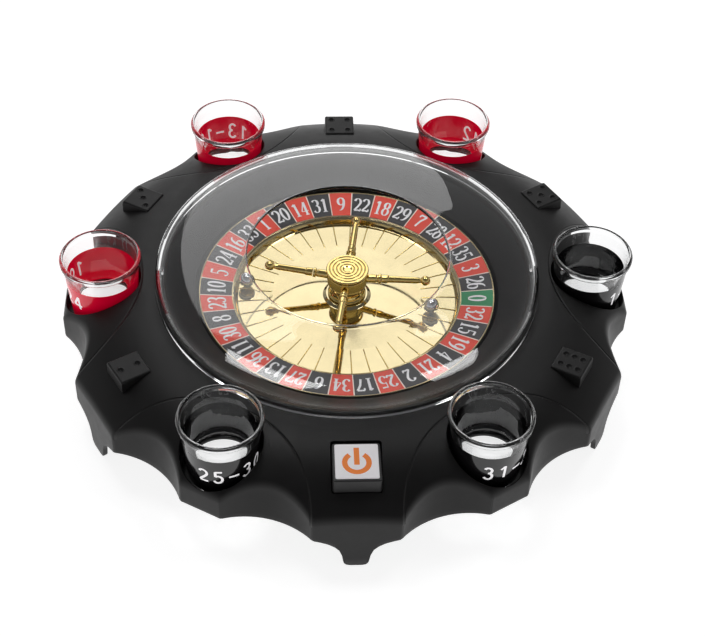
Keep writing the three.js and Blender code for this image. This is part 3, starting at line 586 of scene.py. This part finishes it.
def build_wells():
    """Each well: a sleeve whose top rolls over into the dome, and a ledge the glass stands on."""
    phi = np.arange(160) * 2 * math.pi / 160
    for k in range(6):
        cx, cy = polar(GLASS_R, rad(60 * k))
        rows = []

        def ring(rho, z):
            rows.append((np.broadcast_to(rho, phi.shape), np.broadcast_to(z, phi.shape)))

        edge = WELL_R + WELL_EDGE
        level = surface_z(cx + edge * np.cos(phi), cy + edge * np.sin(phi))
        bottom, foot = 25.5, 27.8
        ring(15.3, bottom)
        ring(15.3, 26.9)
        ring(15.6, WELL_LEDGE_Z)
        ring(WELL_R - 0.6, WELL_LEDGE_Z)
        ring(WELL_R, foot)
        for s in np.linspace(0, 1, 6):
            ring(WELL_R, foot + (level - WELL_EDGE - foot) * s)
        for j in range(1, 5):
            a = math.pi / 2 * j / 4
            ring(edge - WELL_EDGE * math.cos(a), level - WELL_EDGE + WELL_EDGE * math.sin(a))
        ring(edge, level - 1.5)
        ring(edge + 1.2, level - 3.0)
        ring(edge + 1.2, bottom)
        r = np.stack([a for a, _ in rows], 1)
        z = np.stack([b for _, b in rows], 1)
        x = cx + r * np.cos(phi)[:, None]
        y = cy + r * np.sin(phi)[:, None]
        reach = np.hypot(x, y)
        limit = wall_r(np.arctan2(y, x), z) - 0.8  # the sleeve stays inside the side wall
        scale = np.where(reach > limit, limit / reach, 1)
        verts = np.stack([x * scale, y * scale, z], -1).reshape(-1, 3)
        faces = grid_faces(len(phi), r.shape[1], wrap_rows=True, wrap_cols=True)
        make(f"well_{k + 1}", verts, faces, BLACK, "base", "upper_shell")


PIPS = {30: 5, 90: 4, 150: 3, 210: 2, 330: 6}  # pips of the die at each direction


def pip_places(count):
    """Where a face's pips lie, from its middle."""
    a = 4.4
    return {2: [(-a, 0), (a, 0)], 3: [(a, -a), (0, 0), (-a, a)],
            4: [(-a, -a), (-a, a), (a, -a), (a, a)],
            5: [(-a, -a), (-a, a), (a, -a), (a, a), (0, 0)],
            6: [(x, y) for x in (-a, 0, a) for y in (-a * 0.8, a * 0.8)]}[count]


def build_dice():
    """Five dice faces moulded on the body, rounded at their edges and dimpled."""
    half, edge = DIE / 2, 0.9
    inner = np.linspace(-half + edge, half - edge, 81)
    lip = half - edge + edge * np.sin(np.linspace(0, math.pi / 2, 6))[1:]
    u = np.concatenate([-lip[::-1], inner, lip])
    gu, gv = np.meshgrid(u, u, indexing="ij")

    def drop(t):
        over = np.clip(np.abs(t) - (half - edge), 0, edge)
        return edge - np.sqrt(np.maximum(edge ** 2 - over ** 2, 0))
    for degrees, count in PIPS.items():
        z = DIE_TOP - drop(gu) - drop(gv)
        for px, py in pip_places(count):
            d = np.hypot(gu - px, gv - py)
            z = z - 0.75 * np.clip(1 - (d / 1.35) ** 2, 0, 1)
            z = z + 0.12 * np.exp(-((d - 1.55) / 0.22) ** 2)
        n = len(u)
        top = np.stack([gu, gv, z], -1).reshape(-1, 3)
        faces = grid_faces(n, n)
        border = ([i * n for i in range(n)] + [(n - 1) * n + j for j in range(1, n)]
                  + [i * n + n - 1 for i in range(n - 2, -1, -1)] + [j for j in range(n - 2, 0, -1)])
        skirt = top[border].copy()
        skirt[:, 2] = 38.0 + 6 * (half - skirt[:, 0]) / DIE
        verts = np.vstack([top, skirt])
        m = len(border)
        for k in range(m):
            k2 = (k + 1) % m
            faces.append([border[k], border[k2], n * n + k2, n * n + k])
        faces.append([n * n + k for k in range(m)])
        turn = Matrix.Rotation(rad(degrees), 3, "Z")
        verts[:, 0] += DIE_R
        verts = verts @ np.array(turn).T
        make(f"die_{degrees}", verts, faces, BLACK, "base", "upper_shell", sharp=50)


def build_underside():
    """Screw posts, the button's guide and the board's posts, seen from below."""
    for k in range(6):
        x, y = polar(POST_CIRCLE_R, rad(60 * k))
        turned(f"post_{k + 1}", [[1.7, 13.8], [3.5, 13.8, 0.4], [3.6, 41.5], [1.7, 41.5]], BLACK,
               "base", "upper_shell", 32, (x, y))
    outer, inner, bottom, top = 15.0, 13.5, 31.5, 44.0
    v, f = [], []
    for h, z in ((outer, bottom), (outer, top), (inner, top), (inner, bottom)):
        for x, y in ((-h, BUTTON_Y - h), (h, BUTTON_Y - h), (h, BUTTON_Y + h), (-h, BUTTON_Y + h)):
            v.append([x, y, z if z == bottom else dome(math.hypot(x, y)) - 1.0])
    for a in range(4):
        b = (a + 1) % 4
        for j in range(4):
            k = (j + 1) % 4
            f.append([a * 4 + j, a * 4 + k, b * 4 + k, b * 4 + j])
    guide = make("button_guide", v, f, BLACK, "base", "upper_shell")
    bevel(guide, 0.3)
    for side, letter in ((-1, "a"), (1, "b")):
        turned(f"board_post_{letter}", [[1.5, 29.9], [2.9, 29.9, 0.3], [2.9, 38], [1.5, 38]],
               BLACK, "base", "upper_shell", 32, (side * 17.2, BUTTON_Y))


build_shell()
build_wells()
build_dice()
build_underside()


# ---- screws of the base and the door ----
def screw_head(name, x, y, top, bottom, head_r, mat, body, node):
    """A pan head pointing down with a cross recess, on its shank."""
    v, f = lathe_mesh(rounded([[0, bottom], [head_r, bottom, 0.5], [head_r, bottom + 1.5],
                               [1.35, bottom + 1.5], [1.35, top, 0.3], [0, top]]), 40, (x, y))
    obj = make(name, v, f, mat, body, node)
    cross = []
    for a in (0, 90):
        c, s = math.cos(rad(a)), math.sin(rad(a))
        for dx, dy in ((-1.5, -0.35), (1.5, -0.35), (1.5, 0.35), (-1.5, 0.35)):
            cross.append([x + dx * c - dy * s, y + dx * s + dy * c])
    verts = [[px, py, z] for z in (bottom - 0.5, bottom + 0.8) for px, py in cross]
    faces = []
    for base in (0, 4):
        q = [base + i for i in range(4)]
        faces += [q[::-1], [i + 8 for i in q]]
        faces += [[q[i], q[(i + 1) % 4], q[(i + 1) % 4] + 8, q[i] + 8] for i in range(4)]
    cut_away(obj, verts, faces, crossing=True)


for k in range(6):
    lo, hi = box_mm(f"base_screw_{k + 1}")
    screw_head(f"base_screw_{k + 1}_fine", (lo[0] + hi[0]) / 2, (lo[1] + hi[1]) / 2, hi[2], lo[2], 3.0, STEEL,
               "base", f"base_screw_{k + 1}")
lo, hi = box_mm("door_screw")
screw_head("door_screw_fine", 0, (lo[1] + hi[1]) / 2, hi[2], lo[2], 2.7, STEEL, "door", "door_screw")

# ---- power button ----
def pillow(name, half, corner, bottom, top, edge, mats, body, node, flange=None):
    """A square cap with rounded corners and a rolled top edge."""
    rings = []
    if flange:
        f_half, f_bottom, f_top = flange
        rings += [rounded_square(f_half, corner, f_bottom), rounded_square(f_half, corner, f_top)]
        rings.append(rounded_square(half, corner, f_top))
    else:
        rings.append(rounded_square(half, corner, bottom))
    for j in range(6):
        a = math.pi / 2 * j / 5
        inset = edge * (1 - math.cos(a))
        rings.append(rounded_square(half - inset, max(corner - inset, 0.3), top - edge + edge * math.sin(a)))
    n = len(rings[0])
    verts = np.array(rings).reshape(-1, 3)
    faces = []
    for i in range(len(rings) - 1):
        for j in range(n):
            k = (j + 1) % n
            faces.append([i * n + j, i * n + k, (i + 1) * n + k, (i + 1) * n + j])
    faces.append(list(range(n))[::-1])
    faces.append([(len(rings) - 1) * n + j for j in range(n)])
    return make(name, verts, faces, mats, body, node)


pillow("button_cap", 11.2, 1.3, 35, 48.2, 0.7, BLACK_PLAIN, "button", "power_button",
       (13.1, 35, 36.6))
pillow("button_plate", 9.85, 0.8, 48.25, 48.95, 0.3, LABEL, "button", "button_label")


def power_icon():
    """Broken ring and bar of the power symbol, printed on the label."""
    verts, faces = [], []
    outer, inner, gap = 6.7, 4.2, rad(36)
    steps = 56
    y0, print_z = BUTTON_Y - 1.0, 48.97
    for j in range(steps + 1):
        a = math.pi / 2 + gap + (2 * math.pi - 2 * gap) * j / steps
        for r in (outer, inner):
            verts.append([r * math.cos(a), y0 + r * math.sin(a), print_z])
    faces += [[2 * j, 2 * j + 1, 2 * j + 3, 2 * j + 2] for j in range(steps)]
    base = len(verts)
    bar = [[-1.25, -1.3], [1.25, -1.3], [1.25, 8.6], [-1.25, 8.6]]
    verts += [[x, y0 + y, print_z] for x, y in bar]
    faces.append([base, base + 1, base + 2, base + 3])
    make("power_icon", verts, faces, ORANGE, "button", None)


power_icon()

# ---- wheel ----
def build_pan():
    """The wheel's gold dish, with a ridge across its floor between every two pockets."""
    points = [[2.3, 37.0], [10.5, 37.0, 0.5], [12.0, 36.0, 0.8], [37.6, 33.95, 0.5],
              [55.2, 33.8, 0.35], [55.9, 36.6, 0.6], [56.6, 37.25, 0.5], [57.6, 37.9, 0.2],
              [57.6, 36.8], [74.0, 38.7], [73.95, 39.9, 0.2], [74.4, 39.9, 0.2], [74.4, 36.7, 0.4],
              [58.6, 34.7, 0.8], [57.4, 32.0, 0.8], [37.6, 32.0], [11, 35.0], [2.3, 35.0]]
    turned("pan", points, GOLD_PLATE, "wheel", "wheel_pan", 296, round_steps=5, sharp=40)
    verts, faces = [], []
    for k in range(POCKETS):
        a = ZERO_AT + (k + 0.5) * POCKET
        c, s = math.cos(a), math.sin(a)
        section = [(-0.32, 0.0), (-0.12, 0.34), (0.12, 0.34), (0.32, 0.0)]
        base = len(verts)
        for r, lift in ((37.9, 0.0), (38.6, 1.0), (54.9, 1.0), (55.4, 1.0)):
            for w, h in section:
                verts.append([r * c - w * s, r * s + w * c, 33.85 + h * lift])
        for i in range(3):
            for j in range(3):
                p = base + i * 4 + j
                faces.append([p, p + 1, p + 5, p + 4])
    make("pan_ridges", verts, faces, GOLD, "wheel", "wheel_pan", sharp=60)


def ring_z(r):
    """Height of the number ring, which rises outwards."""
    return 37.9 + (r - RING_IN) * 1.9 / (RING_OUT - RING_IN)


def arc(cx, cy, rx, ry, a0, a1, n=14):
    """Points along an ellipse from one angle in degrees to another."""
    t = np.radians(np.linspace(a0, a1, n))
    return np.stack([cx + rx * np.cos(t), cy + ry * np.sin(t)], 1)


def digit_strokes(d):
    """Pen strokes of a serif digit in a box 0.56 wide and 1 high, each with its weight."""
    line = lambda *p: np.array(p, float)
    if d == 0:
        return [(arc(.28, .5, .2, .45, 0, 360, 28), 1)]
    if d == 1:
        return [(line((.29, .04), (.29, .95)), 1), (line((.13, .82), (.29, .95)), 1),
                (line((.12, .03), (.46, .03)), 1)]
    if d == 2:
        top = arc(.27, .70, .19, .25, 165, -25)
        tail = line((.43, .55), (.3, .36), (.12, .16), (.07, .06))
        return [(np.vstack([top, tail[1:]]), 1), (line((.07, .07), (.3, .10), (.5, .06)), 2),
                (line((.5, .06), (.5, .22)), .6)]
    if d == 3:
        return [(arc(.25, .73, .18, .22, 155, -90), 1), (arc(.25, .28, .21, .25, 90, -155), 1)]
    if d == 4:
        return [(line((.36, .96), (.05, .3)), .5), (line((.05, .3), (.53, .3)), 1),
                (line((.37, .04), (.37, .96)), 1), (line((.24, .03), (.52, .03)), 1)]
    if d == 5:
        return [(line((.13, .93), (.13, .52)), .35), (line((.13, .91), (.46, .91)), 2.2),
                (arc(.25, .31, .22, .28, 125, -155), 1)]
    if d == 6:
        return [(arc(.28, .3, .2, .26, 0, 360, 24), 1), (arc(.38, .42, .3, .52, 85, 190), 1)]
    if d == 7:
        return [(line((.07, .92), (.5, .92)), 2.4), (line((.5, .92), (.3, .5), (.22, .04)), .9),
                (line((.07, .74), (.07, .92)), .6)]
    if d == 8:
        return [(arc(.28, .74, .16, .21, 0, 360, 24), 1), (arc(.28, .27, .2, .25, 0, 360, 24), 1)]
    return [(arc(.28, .7, .2, .26, 0, 360, 24), 1), (arc(.18, .58, .3, .52, -95, 10), 1)]


def ribbon(path, weight, thick=0.17, thin=0.05):
    """A flat band along a path, thick where it runs upright and thin where it runs across."""
    seg = np.gradient(path, axis=0)
    closed = np.allclose(path[0], path[-1])
    if closed:
        seg[0] = seg[-1] = path[1] - path[-2]
    length = np.linalg.norm(seg, axis=1, keepdims=True)
    t = seg / np.maximum(length, 1e-9)
    width = (thin + (thick - thin) * np.abs(t[:, 1:]) ** 1.6) * weight
    side = np.stack([-t[:, 1], t[:, 0]], 1) * width / 2
    return path + side, path - side


def build_number_ring():
    """The 37 coloured pockets and their numbers, printed on a plate."""
    mats = [POCKET_RED, POCKET_BLACK, POCKET_GREEN, POCKET_LINE, WHITE_INK]
    verts, faces, index = [], [], []

    def patch(corners_r, angles, which, lift):
        base = len(verts)
        rows, cols = len(corners_r), len(angles)
        for r in corners_r:
            for a in angles:
                verts.append([r * math.cos(a), r * math.sin(a), ring_z(r) + lift])
        for face in grid_faces(rows, cols):
            faces.append([base + i for i in face])
            index.append(which)
    for k, number in enumerate(NUMBERS):
        mid = ZERO_AT - k * POCKET
        which = 2 if number == 0 else 0 if number in REDS else 1
        start, end = mid - POCKET / 2, mid + POCKET / 2
        patch(np.linspace(RING_IN, RING_OUT, 5), np.linspace(start, end, 7), which, -0.03)
        line = [end - POCKET_LINE_HALF, end + POCKET_LINE_HALF]
        patch(np.linspace(RING_IN, RING_OUT, 3), line, 3, 0.0)
        text = str(number)
        for n, ch in enumerate(text):
            shift = (n - (len(text) - 1) / 2) * DIGIT_STEP
            for path, weight in digit_strokes(int(ch)):
                a_side, b_side = ribbon(path, weight)
                base = len(verts)
                for p in np.concatenate([a_side, b_side]):
                    u = (p[0] - 0.28) * DIGIT_W + shift
                    v = (p[1] - 0.5) * DIGIT_H
                    r = NUMBER_R + v
                    a = mid - u / NUMBER_R
                    verts.append([r * math.cos(a), r * math.sin(a), ring_z(r) + 0.02])
                m = len(path)
                for i in range(m - 1):
                    faces.append([base + i, base + i + 1, base + m + i + 1, base + m + i])
                    index.append(4)
    make("number_print", verts, faces, mats, "wheel", "number_ring", index, sharp=60)
    turned("number_plate", [[RING_IN, 37.8], [RING_OUT, 39.7], [RING_OUT, 39.0], [RING_IN, 37.1]],
           POCKET_LINE, "wheel", "number_ring", 222)


def build_turret():
    """The hub, its cap with turned grooves, and four arms that droop a little to their balls."""
    turned("hub", [[0, 37.3], [9.6, 37.3, 0.3], [9.6, 38.3, 0.35], [8.7, 38.9, 0.3],
                   [9.3, 40.2, 0.5], [8.7, 41.2, 0.4], [9.1, 43.2, 1.5], [10.1, 46.0, 1.0],
                   [10.2, 51.2, 0.4], [0, 51.6]], GOLD, "wheel", "turret_hub", 128)
    cap = [[0, 51.9], [10.5, 51.9, 0.3], [10.7, 53.0, 0.5], [10.2, 53.4, 0.3]]
    for r in (8.9, 7.1, 5.3, 3.5):
        cap += [[r + 0.45, 53.35, 0.15], [r, 52.95, 0.2], [r - 0.45, 53.35, 0.15]]
    cap += [[2.4, 53.4, 0.2], [1.6, 53.1, 0.2], [0, 53.1]]
    turned("cap", cap, GOLD, "wheel", "turret_cap", 128, round_steps=3)
    for k in range(4):
        turn = TURRET_TURN + k * math.pi / 2
        lay = (Matrix.Translation((0, 0, 47.6)) @ Matrix.Rotation(turn, 4, "Z")
               @ Matrix.Rotation(rad(-4.3), 4, "Y") @ Matrix.Rotation(math.pi / 2, 4, "Y"))
        stub = [[0, 6], [2.1, 6], [2.1, 14.6, 0.3], [1.8, 15.2, 0.2], [1.8, 15.6, 0.2], [2.5, 16.0, 0.3],
                [2.5, 17.2, 0.3], [0, 17.2]]
        arm = [[0, 17.5], [2.1, 17.5, 0.2], [2.1, 20.5, 0.6], [1.75, 21.2, 0.4], [1.6, 35.3, 0.5],
               [1.25, 36.9, 0.3]]
        ball = [[39.3 - 2.5 * math.cos(t), 2.5 * math.sin(t)] for t in np.linspace(0.56, 3.0, 12)]
        arm += [[r, s] for s, r in ball] + [[0, 41.8]]
        for name, profile, node in ((f"stub_{k + 1}", stub, "turret_hub"),
                                    (f"arm_{k + 1}", arm, f"turret_arm_{k + 1}")):
            v, f = lathe_mesh(rounded(profile, 4), 40)
            v = np.array([lay @ Vector(p) for p in v])
            make(name, v, f, GOLD, "wheel", node)


build_pan()
build_number_ring()
build_turret()


BALL_R = 4


def smooth_ball(name, node, body):
    lo, hi = box_mm(node)
    centre = (lo + hi) / 2
    profile = [[BALL_R * math.sin(t), centre[2] - BALL_R * math.cos(t)]
               for t in np.linspace(0, math.pi, 33)]
    profile[0][0] = profile[-1][0] = 0
    v, f = lathe_mesh(profile, 64, centre[:2])
    make(name, v, f, STEEL_BALL, body, node, sharp=80)


smooth_ball("steel_ball_1", "ball_1", "loose_ball_1")
smooth_ball("steel_ball_2", "ball_2", "loose_ball_2")


# ---- clear cover ----
LIP_AT, LIP_R = (50.7, 63.97), 0.9  # the rolled edge of the opening


def smooth_run(points):
    """A smooth curve through a run of profile points, six steps to a stretch."""
    pts = np.array(points, float)
    out = []
    for k in range(len(pts) - 1):
        before, after = pts[max(k - 1, 0)], pts[min(k + 2, len(pts) - 1)]
        p, q = pts[k], pts[k + 1]
        reach = np.linalg.norm(q - p)
        m0 = (q - before) / max(np.linalg.norm(q - before), 1e-9) * reach
        m1 = (after - p) / max(np.linalg.norm(after - p), 1e-9) * reach
        for t in np.arange(6) / 6:
            out.append((2 * t ** 3 - 3 * t ** 2 + 1) * p + (t ** 3 - 2 * t ** 2 + t) * m0
                       + (3 * t ** 2 - 2 * t ** 3) * q + (t ** 3 - t ** 2) * m1)
    out.append(pts[-1])
    return out


def build_cover():
    """The clear dome round its opening, and the two lugs that hold it."""
    outer = [[96.0, 49.9], [95.2, 55.6], [94.1, 57.7], [92.3, 59.1], [89.2, 60.2], [84, 61.3], [78, 62.2],
             [70, 63.1], [60, 64.0], [50.9, 64.86]]
    inner = [[50.9, 63.08], [60, 62.2], [70, 61.3], [78, 60.4], [84, 59.5], [88.5, 58.5], [91, 57.5],
             [92.5, 56.3], [93.3, 54.8], [94.1, 49.9]]
    lip = [[LIP_AT[0] + LIP_R * math.cos(t), LIP_AT[1] + LIP_R * math.sin(t)]
           for t in np.linspace(0.5, 1.5, 13) * math.pi]
    profile = np.array(smooth_run(outer) + lip + smooth_run(inner))
    verts, faces = lathe_mesh(profile, 288)
    make("cover", verts, faces, COVER, "cover", "clear_cover", sharp=50)
    for side in (0, 180):
        a = rad(side)
        v = []
        for r in (91.8, 93.2):
            for w in (-2.4, 2.4):
                for z in (51.7, 53.9):
                    v.append([r * math.cos(a) - w * math.sin(a), r * math.sin(a) + w * math.cos(a), z])
        f = [[0, 1, 3, 2], [4, 6, 7, 5], [0, 4, 5, 1], [2, 3, 7, 6], [0, 2, 6, 4], [1, 5, 7, 3]]
        bevel(make(f"cover_lug_{side}", v, f, COVER, "cover", "clear_cover"), 0.3)


build_cover()


# ---- glasses ----
BAND_TOP = 53.2
LABEL_H, LABEL_STEP, LABEL_PEN = 9.2, 7.0, 0.13
WALL_LOW_R, WALL_LOW_Z = 16.15, 28.3
WALL_HIGH_R, WALL_HIGH_Z = 18.85, 60.3
GLASS_STEPS = 128


def wall_outer(z):
    """Radius of a glass's outside at a height."""
    return WALL_LOW_R + (WALL_HIGH_R - WALL_LOW_R) * (z - WALL_LOW_Z) / (WALL_HIGH_Z - WALL_LOW_Z)


def plain_strokes(ch):
    """Pen strokes of a plain character in the same box as the serif digits."""
    line = lambda *p: np.array(p, float)
    if ch == "-":
        return [line((.04, .45), (.56, .45))]
    if ch == "1":
        return [line((.12, .74), (.33, .94)), line((.33, .96), (.33, .04))]
    if ch == "2":
        curve = arc(.27, .70, .20, .24, 165, -30)
        return [np.vstack([curve, line((.3, .38), (.14, .2), (.06, .07))]), line((.05, .06), (.5, .06))]
    if ch == "4":
        return [line((.38, .96), (.03, .3)), line((.02, .3), (.54, .3)), line((.39, .96), (.39, .04))]
    if ch == "7":
        return [line((.06, .92), (.5, .92)), line((.49, .93), (.3, .5), (.2, .04))]
    return [path for path, _ in digit_strokes(int(ch))]


def fine_path(path, step=0.06):
    """The path with points added so that no stretch is longer than step."""
    out = [path[0]]
    for p, q in zip(path[:-1], path[1:]):
        n = max(1, int(math.ceil(np.linalg.norm(q - p) / step)))
        out += [p + (q - p) * (i + 1) / n for i in range(n)]
    return np.array(out)


def build_label(k, label, label_at, baseline, centre, body, node):
    """White numbers printed round the wall, seen from outside and through the glass."""
    round_r = wall_outer(baseline + LABEL_H / 2)
    for copy, lift in (("out", 0.06), ("in", -0.03)):
        verts, faces = [], []
        for n, ch in enumerate(label):
            shift = (n - (len(label) - 1) / 2) * LABEL_STEP
            for path in plain_strokes(ch):
                a_side, b_side = ribbon(fine_path(path), 1, LABEL_PEN, LABEL_PEN)
                base = len(verts)
                for p in np.concatenate([a_side, b_side]):
                    z = baseline + p[1] * LABEL_H
                    r = wall_outer(z) + lift
                    a = rad(label_at) + ((p[0] - 0.28) * LABEL_H + shift) / round_r
                    verts.append([centre[0] + r * math.cos(a), centre[1] + r * math.sin(a), z])
                m = len(a_side)
                faces += [[base + i, base + i + 1, base + m + i + 1, base + m + i] for i in range(m - 1)]
        make(f"glass_text_{copy}_{k}", verts, faces, GLASS_INK, body, node, sharp=80)


def build_glass(k, label, label_at, baseline):
    """A glass whose wall is painted outside up to a level, clear above it."""
    lo, hi = box_mm(f"glass_{k}")
    centre = (lo[:2] + hi[:2]) / 2
    base, top = lo[2], hi[2]
    node, body = f"glass_{k}", f"shot_{k}"
    paint, slot = (RED_PAINT, "glass_red") if k in (2, 3, 4) else (BLACK_PAINT, "glass_black")
    painted = np.linspace(base + 1.4, BAND_TOP, 20)
    outline = [[0, base], [15.6, base, 0.6], [16.1, base + 0.8, 0.4]]
    outline += [[wall_outer(z), z] for z in painted]
    outline += [[WALL_HIGH_R, WALL_HIGH_Z, 0.6], [19.95, 61.1, 0.8], [20.0, 63.0, 1.1], [19.2, top, 0.7],
                [18.3, top, 0.5], [18.0, 62.6, 1.0], [14.9, 39.3, 2.0], [13.4, 38.0, 1.2], [0, 38.0]]
    profile = rounded(outline, 5)
    verts, faces = lathe_mesh(profile, GLASS_STEPS, centre)
    middle_r, middle_z = ((profile[1:-2] + profile[2:-1]) / 2).T
    in_band = (middle_z > painted[0]) & (middle_z < BAND_TOP)
    coated = in_band & (middle_r > wall_outer(middle_z) - 0.2)
    index = np.zeros(len(faces), int)
    index[:GLASS_STEPS * len(middle_r)] = np.tile(coated.astype(int), GLASS_STEPS)
    make(f"glass_wall_{k}", verts, faces, [CLEAR, paint], body, node, index.tolist(), sharp=50)
    build_label(k, label, label_at, baseline, centre, body, node)


for k, (label, at, baseline) in enumerate([("1-6", 330, 39.5), ("7-12", 18, 39.5), ("13-18", 108, 39.5),
                                           ("19-24", 184, 40.2), ("25-30", 290, 37.3), ("31-36", 312, 37.3)]):
    build_glass(k + 1, label, at, baseline)

# ---- materials of the nodes that stay as they are ----
KEPT = {"bottom_cover": GREY, "battery_door": GREY, "tact_switch": GREY, "switch_plunger": GREY,
        "aa_cell_1": CELL, "aa_cell_2": CELL, "contact_bridge": NICKEL, "contact_positive": NICKEL,
        "contact_negative": NICKEL, "motor": CAN, "motor_bracket": CAN, "motor_shaft": STEEL,
        "spindle": STEEL, "spindle_clip": STEEL, "spindle_bush": BRASS, "drive_gear": NYLON,
        "motor_pinion": NYLON, "switch_board": BOARD, "board_screw_1": STEEL, "board_screw_2": STEEL,
        "bracket_screw_1": STEEL, "bracket_screw_2": STEEL, "lead_battery_switch": LEAD_RED,
        "lead_switch_motor": LEAD_YELLOW, "lead_motor_battery": LEAD_BLACK}
for node, mat in KEPT.items():
    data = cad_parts[node].data
    data.materials.clear()
    data.materials.append(mat)

# ---- studio ----
world = bpy.data.worlds.new("studio")
bpy.context.scene.world = world
world.use_nodes = True
wt = world.node_tree
wt.nodes.clear()
w_out = wt.nodes.new("ShaderNodeOutputWorld")
w_bg = wt.nodes.new("ShaderNodeBackground")
w_xyz = wt.nodes.new("ShaderNodeSeparateXYZ")
w_co = wt.nodes.new("ShaderNodeTexCoord")
w_ramp = wt.nodes.new("ShaderNodeValToRGB")
wt.links.new(w_co.outputs["Generated"], w_xyz.inputs[0])
wt.links.new(w_xyz.outputs[2], w_ramp.inputs[0])
wt.links.new(w_ramp.outputs[0], w_bg.inputs[0])
wt.links.new(w_bg.outputs[0], w_out.inputs[0])
w_ramp.color_ramp.elements[0].position = 0.0
w_ramp.color_ramp.elements[0].color = (0.6, 0.6, 0.6, 1)
w_ramp.color_ramp.elements[1].position = 0.72
w_ramp.color_ramp.elements[1].color = (0.10, 0.10, 0.105, 1)
middle = w_ramp.color_ramp.elements.new(0.28)
middle.color = (0.45, 0.45, 0.45, 1)
w_bg.inputs[1].default_value = 1.0

floor_mesh = bpy.data.meshes.new("floor")
floor_mesh.from_pydata([(-6, -6, 0), (6, -6, 0), (6, 6, 0), (-6, 6, 0)], [], [[0, 1, 2, 3]])
floor = bpy.data.objects.new("floor", floor_mesh)
bpy.context.scene.collection.objects.link(floor)
fm = Nodes("floor")
fm.principled(Base_Color=(0.5, 0.5, 0.5, 1), Roughness=0.9, Specular_IOR_Level=0.0,
              Emission_Color=(1, 1, 1, 1), Emission_Strength=0.85)
floor_mesh.materials.append(fm.mat)


def softbox(name, direction, distance, width, height, luminance, roll=0):
    """A rectangular light facing the wheel, turned about its own beam by roll degrees."""
    light = bpy.data.lights.new(name, "AREA")
    light.shape, light.size, light.size_y = "RECTANGLE", width, height
    light.energy = luminance * math.pi * width * height
    obj = bpy.data.objects.new(name, light)
    bpy.context.scene.collection.objects.link(obj)
    d = Vector(direction).normalized()
    obj.location = d * distance
    across = Vector((0, 0, 1)).cross(d).normalized()
    facing = Matrix((across, d.cross(across), d)).transposed()
    obj.rotation_euler = (facing @ Matrix.Rotation(rad(roll), 3, "Z")).to_euler()
    obj.visible_camera = False


def towards(azimuth, elevation):
    """The unit vector that points at an azimuth and elevation in degrees."""
    a, e = rad(azimuth), rad(elevation)
    return (math.cos(a) * math.cos(e), math.sin(a) * math.cos(e), math.sin(e))


softbox("back_panel", towards(93.5, 35), 1.6, 0.89, 1.33, 1.35)
softbox("left", towards(129, 70), 1.5, 0.35, 0.45, 6.0, 17)
softbox("right", towards(38, 64), 1.5, 0.38, 0.28, 6.0, -11)

# ---- camera ----
camera = bpy.data.cameras.new("camera")
camera.lens, camera.sensor_width, camera.sensor_fit = 81.03, 36, "HORIZONTAL"
camera.clip_start, camera.clip_end = 0.01, 50
cam = bpy.data.objects.new("camera", camera)
bpy.context.scene.collection.objects.link(cam)
eye, target = Vector((-0.03253, -0.57488, 0.59789)), Vector((0.00337, 0, 0.01864))
roll = rad(1.97)
ahead = (target - eye).normalized()
side = ahead.cross(Vector((0, 0, 1))).normalized()
above = side.cross(ahead)
right = side * math.cos(roll) + above * math.sin(roll)
above = above * math.cos(roll) - side * math.sin(roll)
cam.matrix_world = Matrix.Translation(eye) @ Matrix((right, above, -ahead)).transposed().to_4x4()
scene = bpy.context.scene
scene.camera = cam
scene.view_settings.view_transform = "Standard"
scene.view_settings.look = "None"
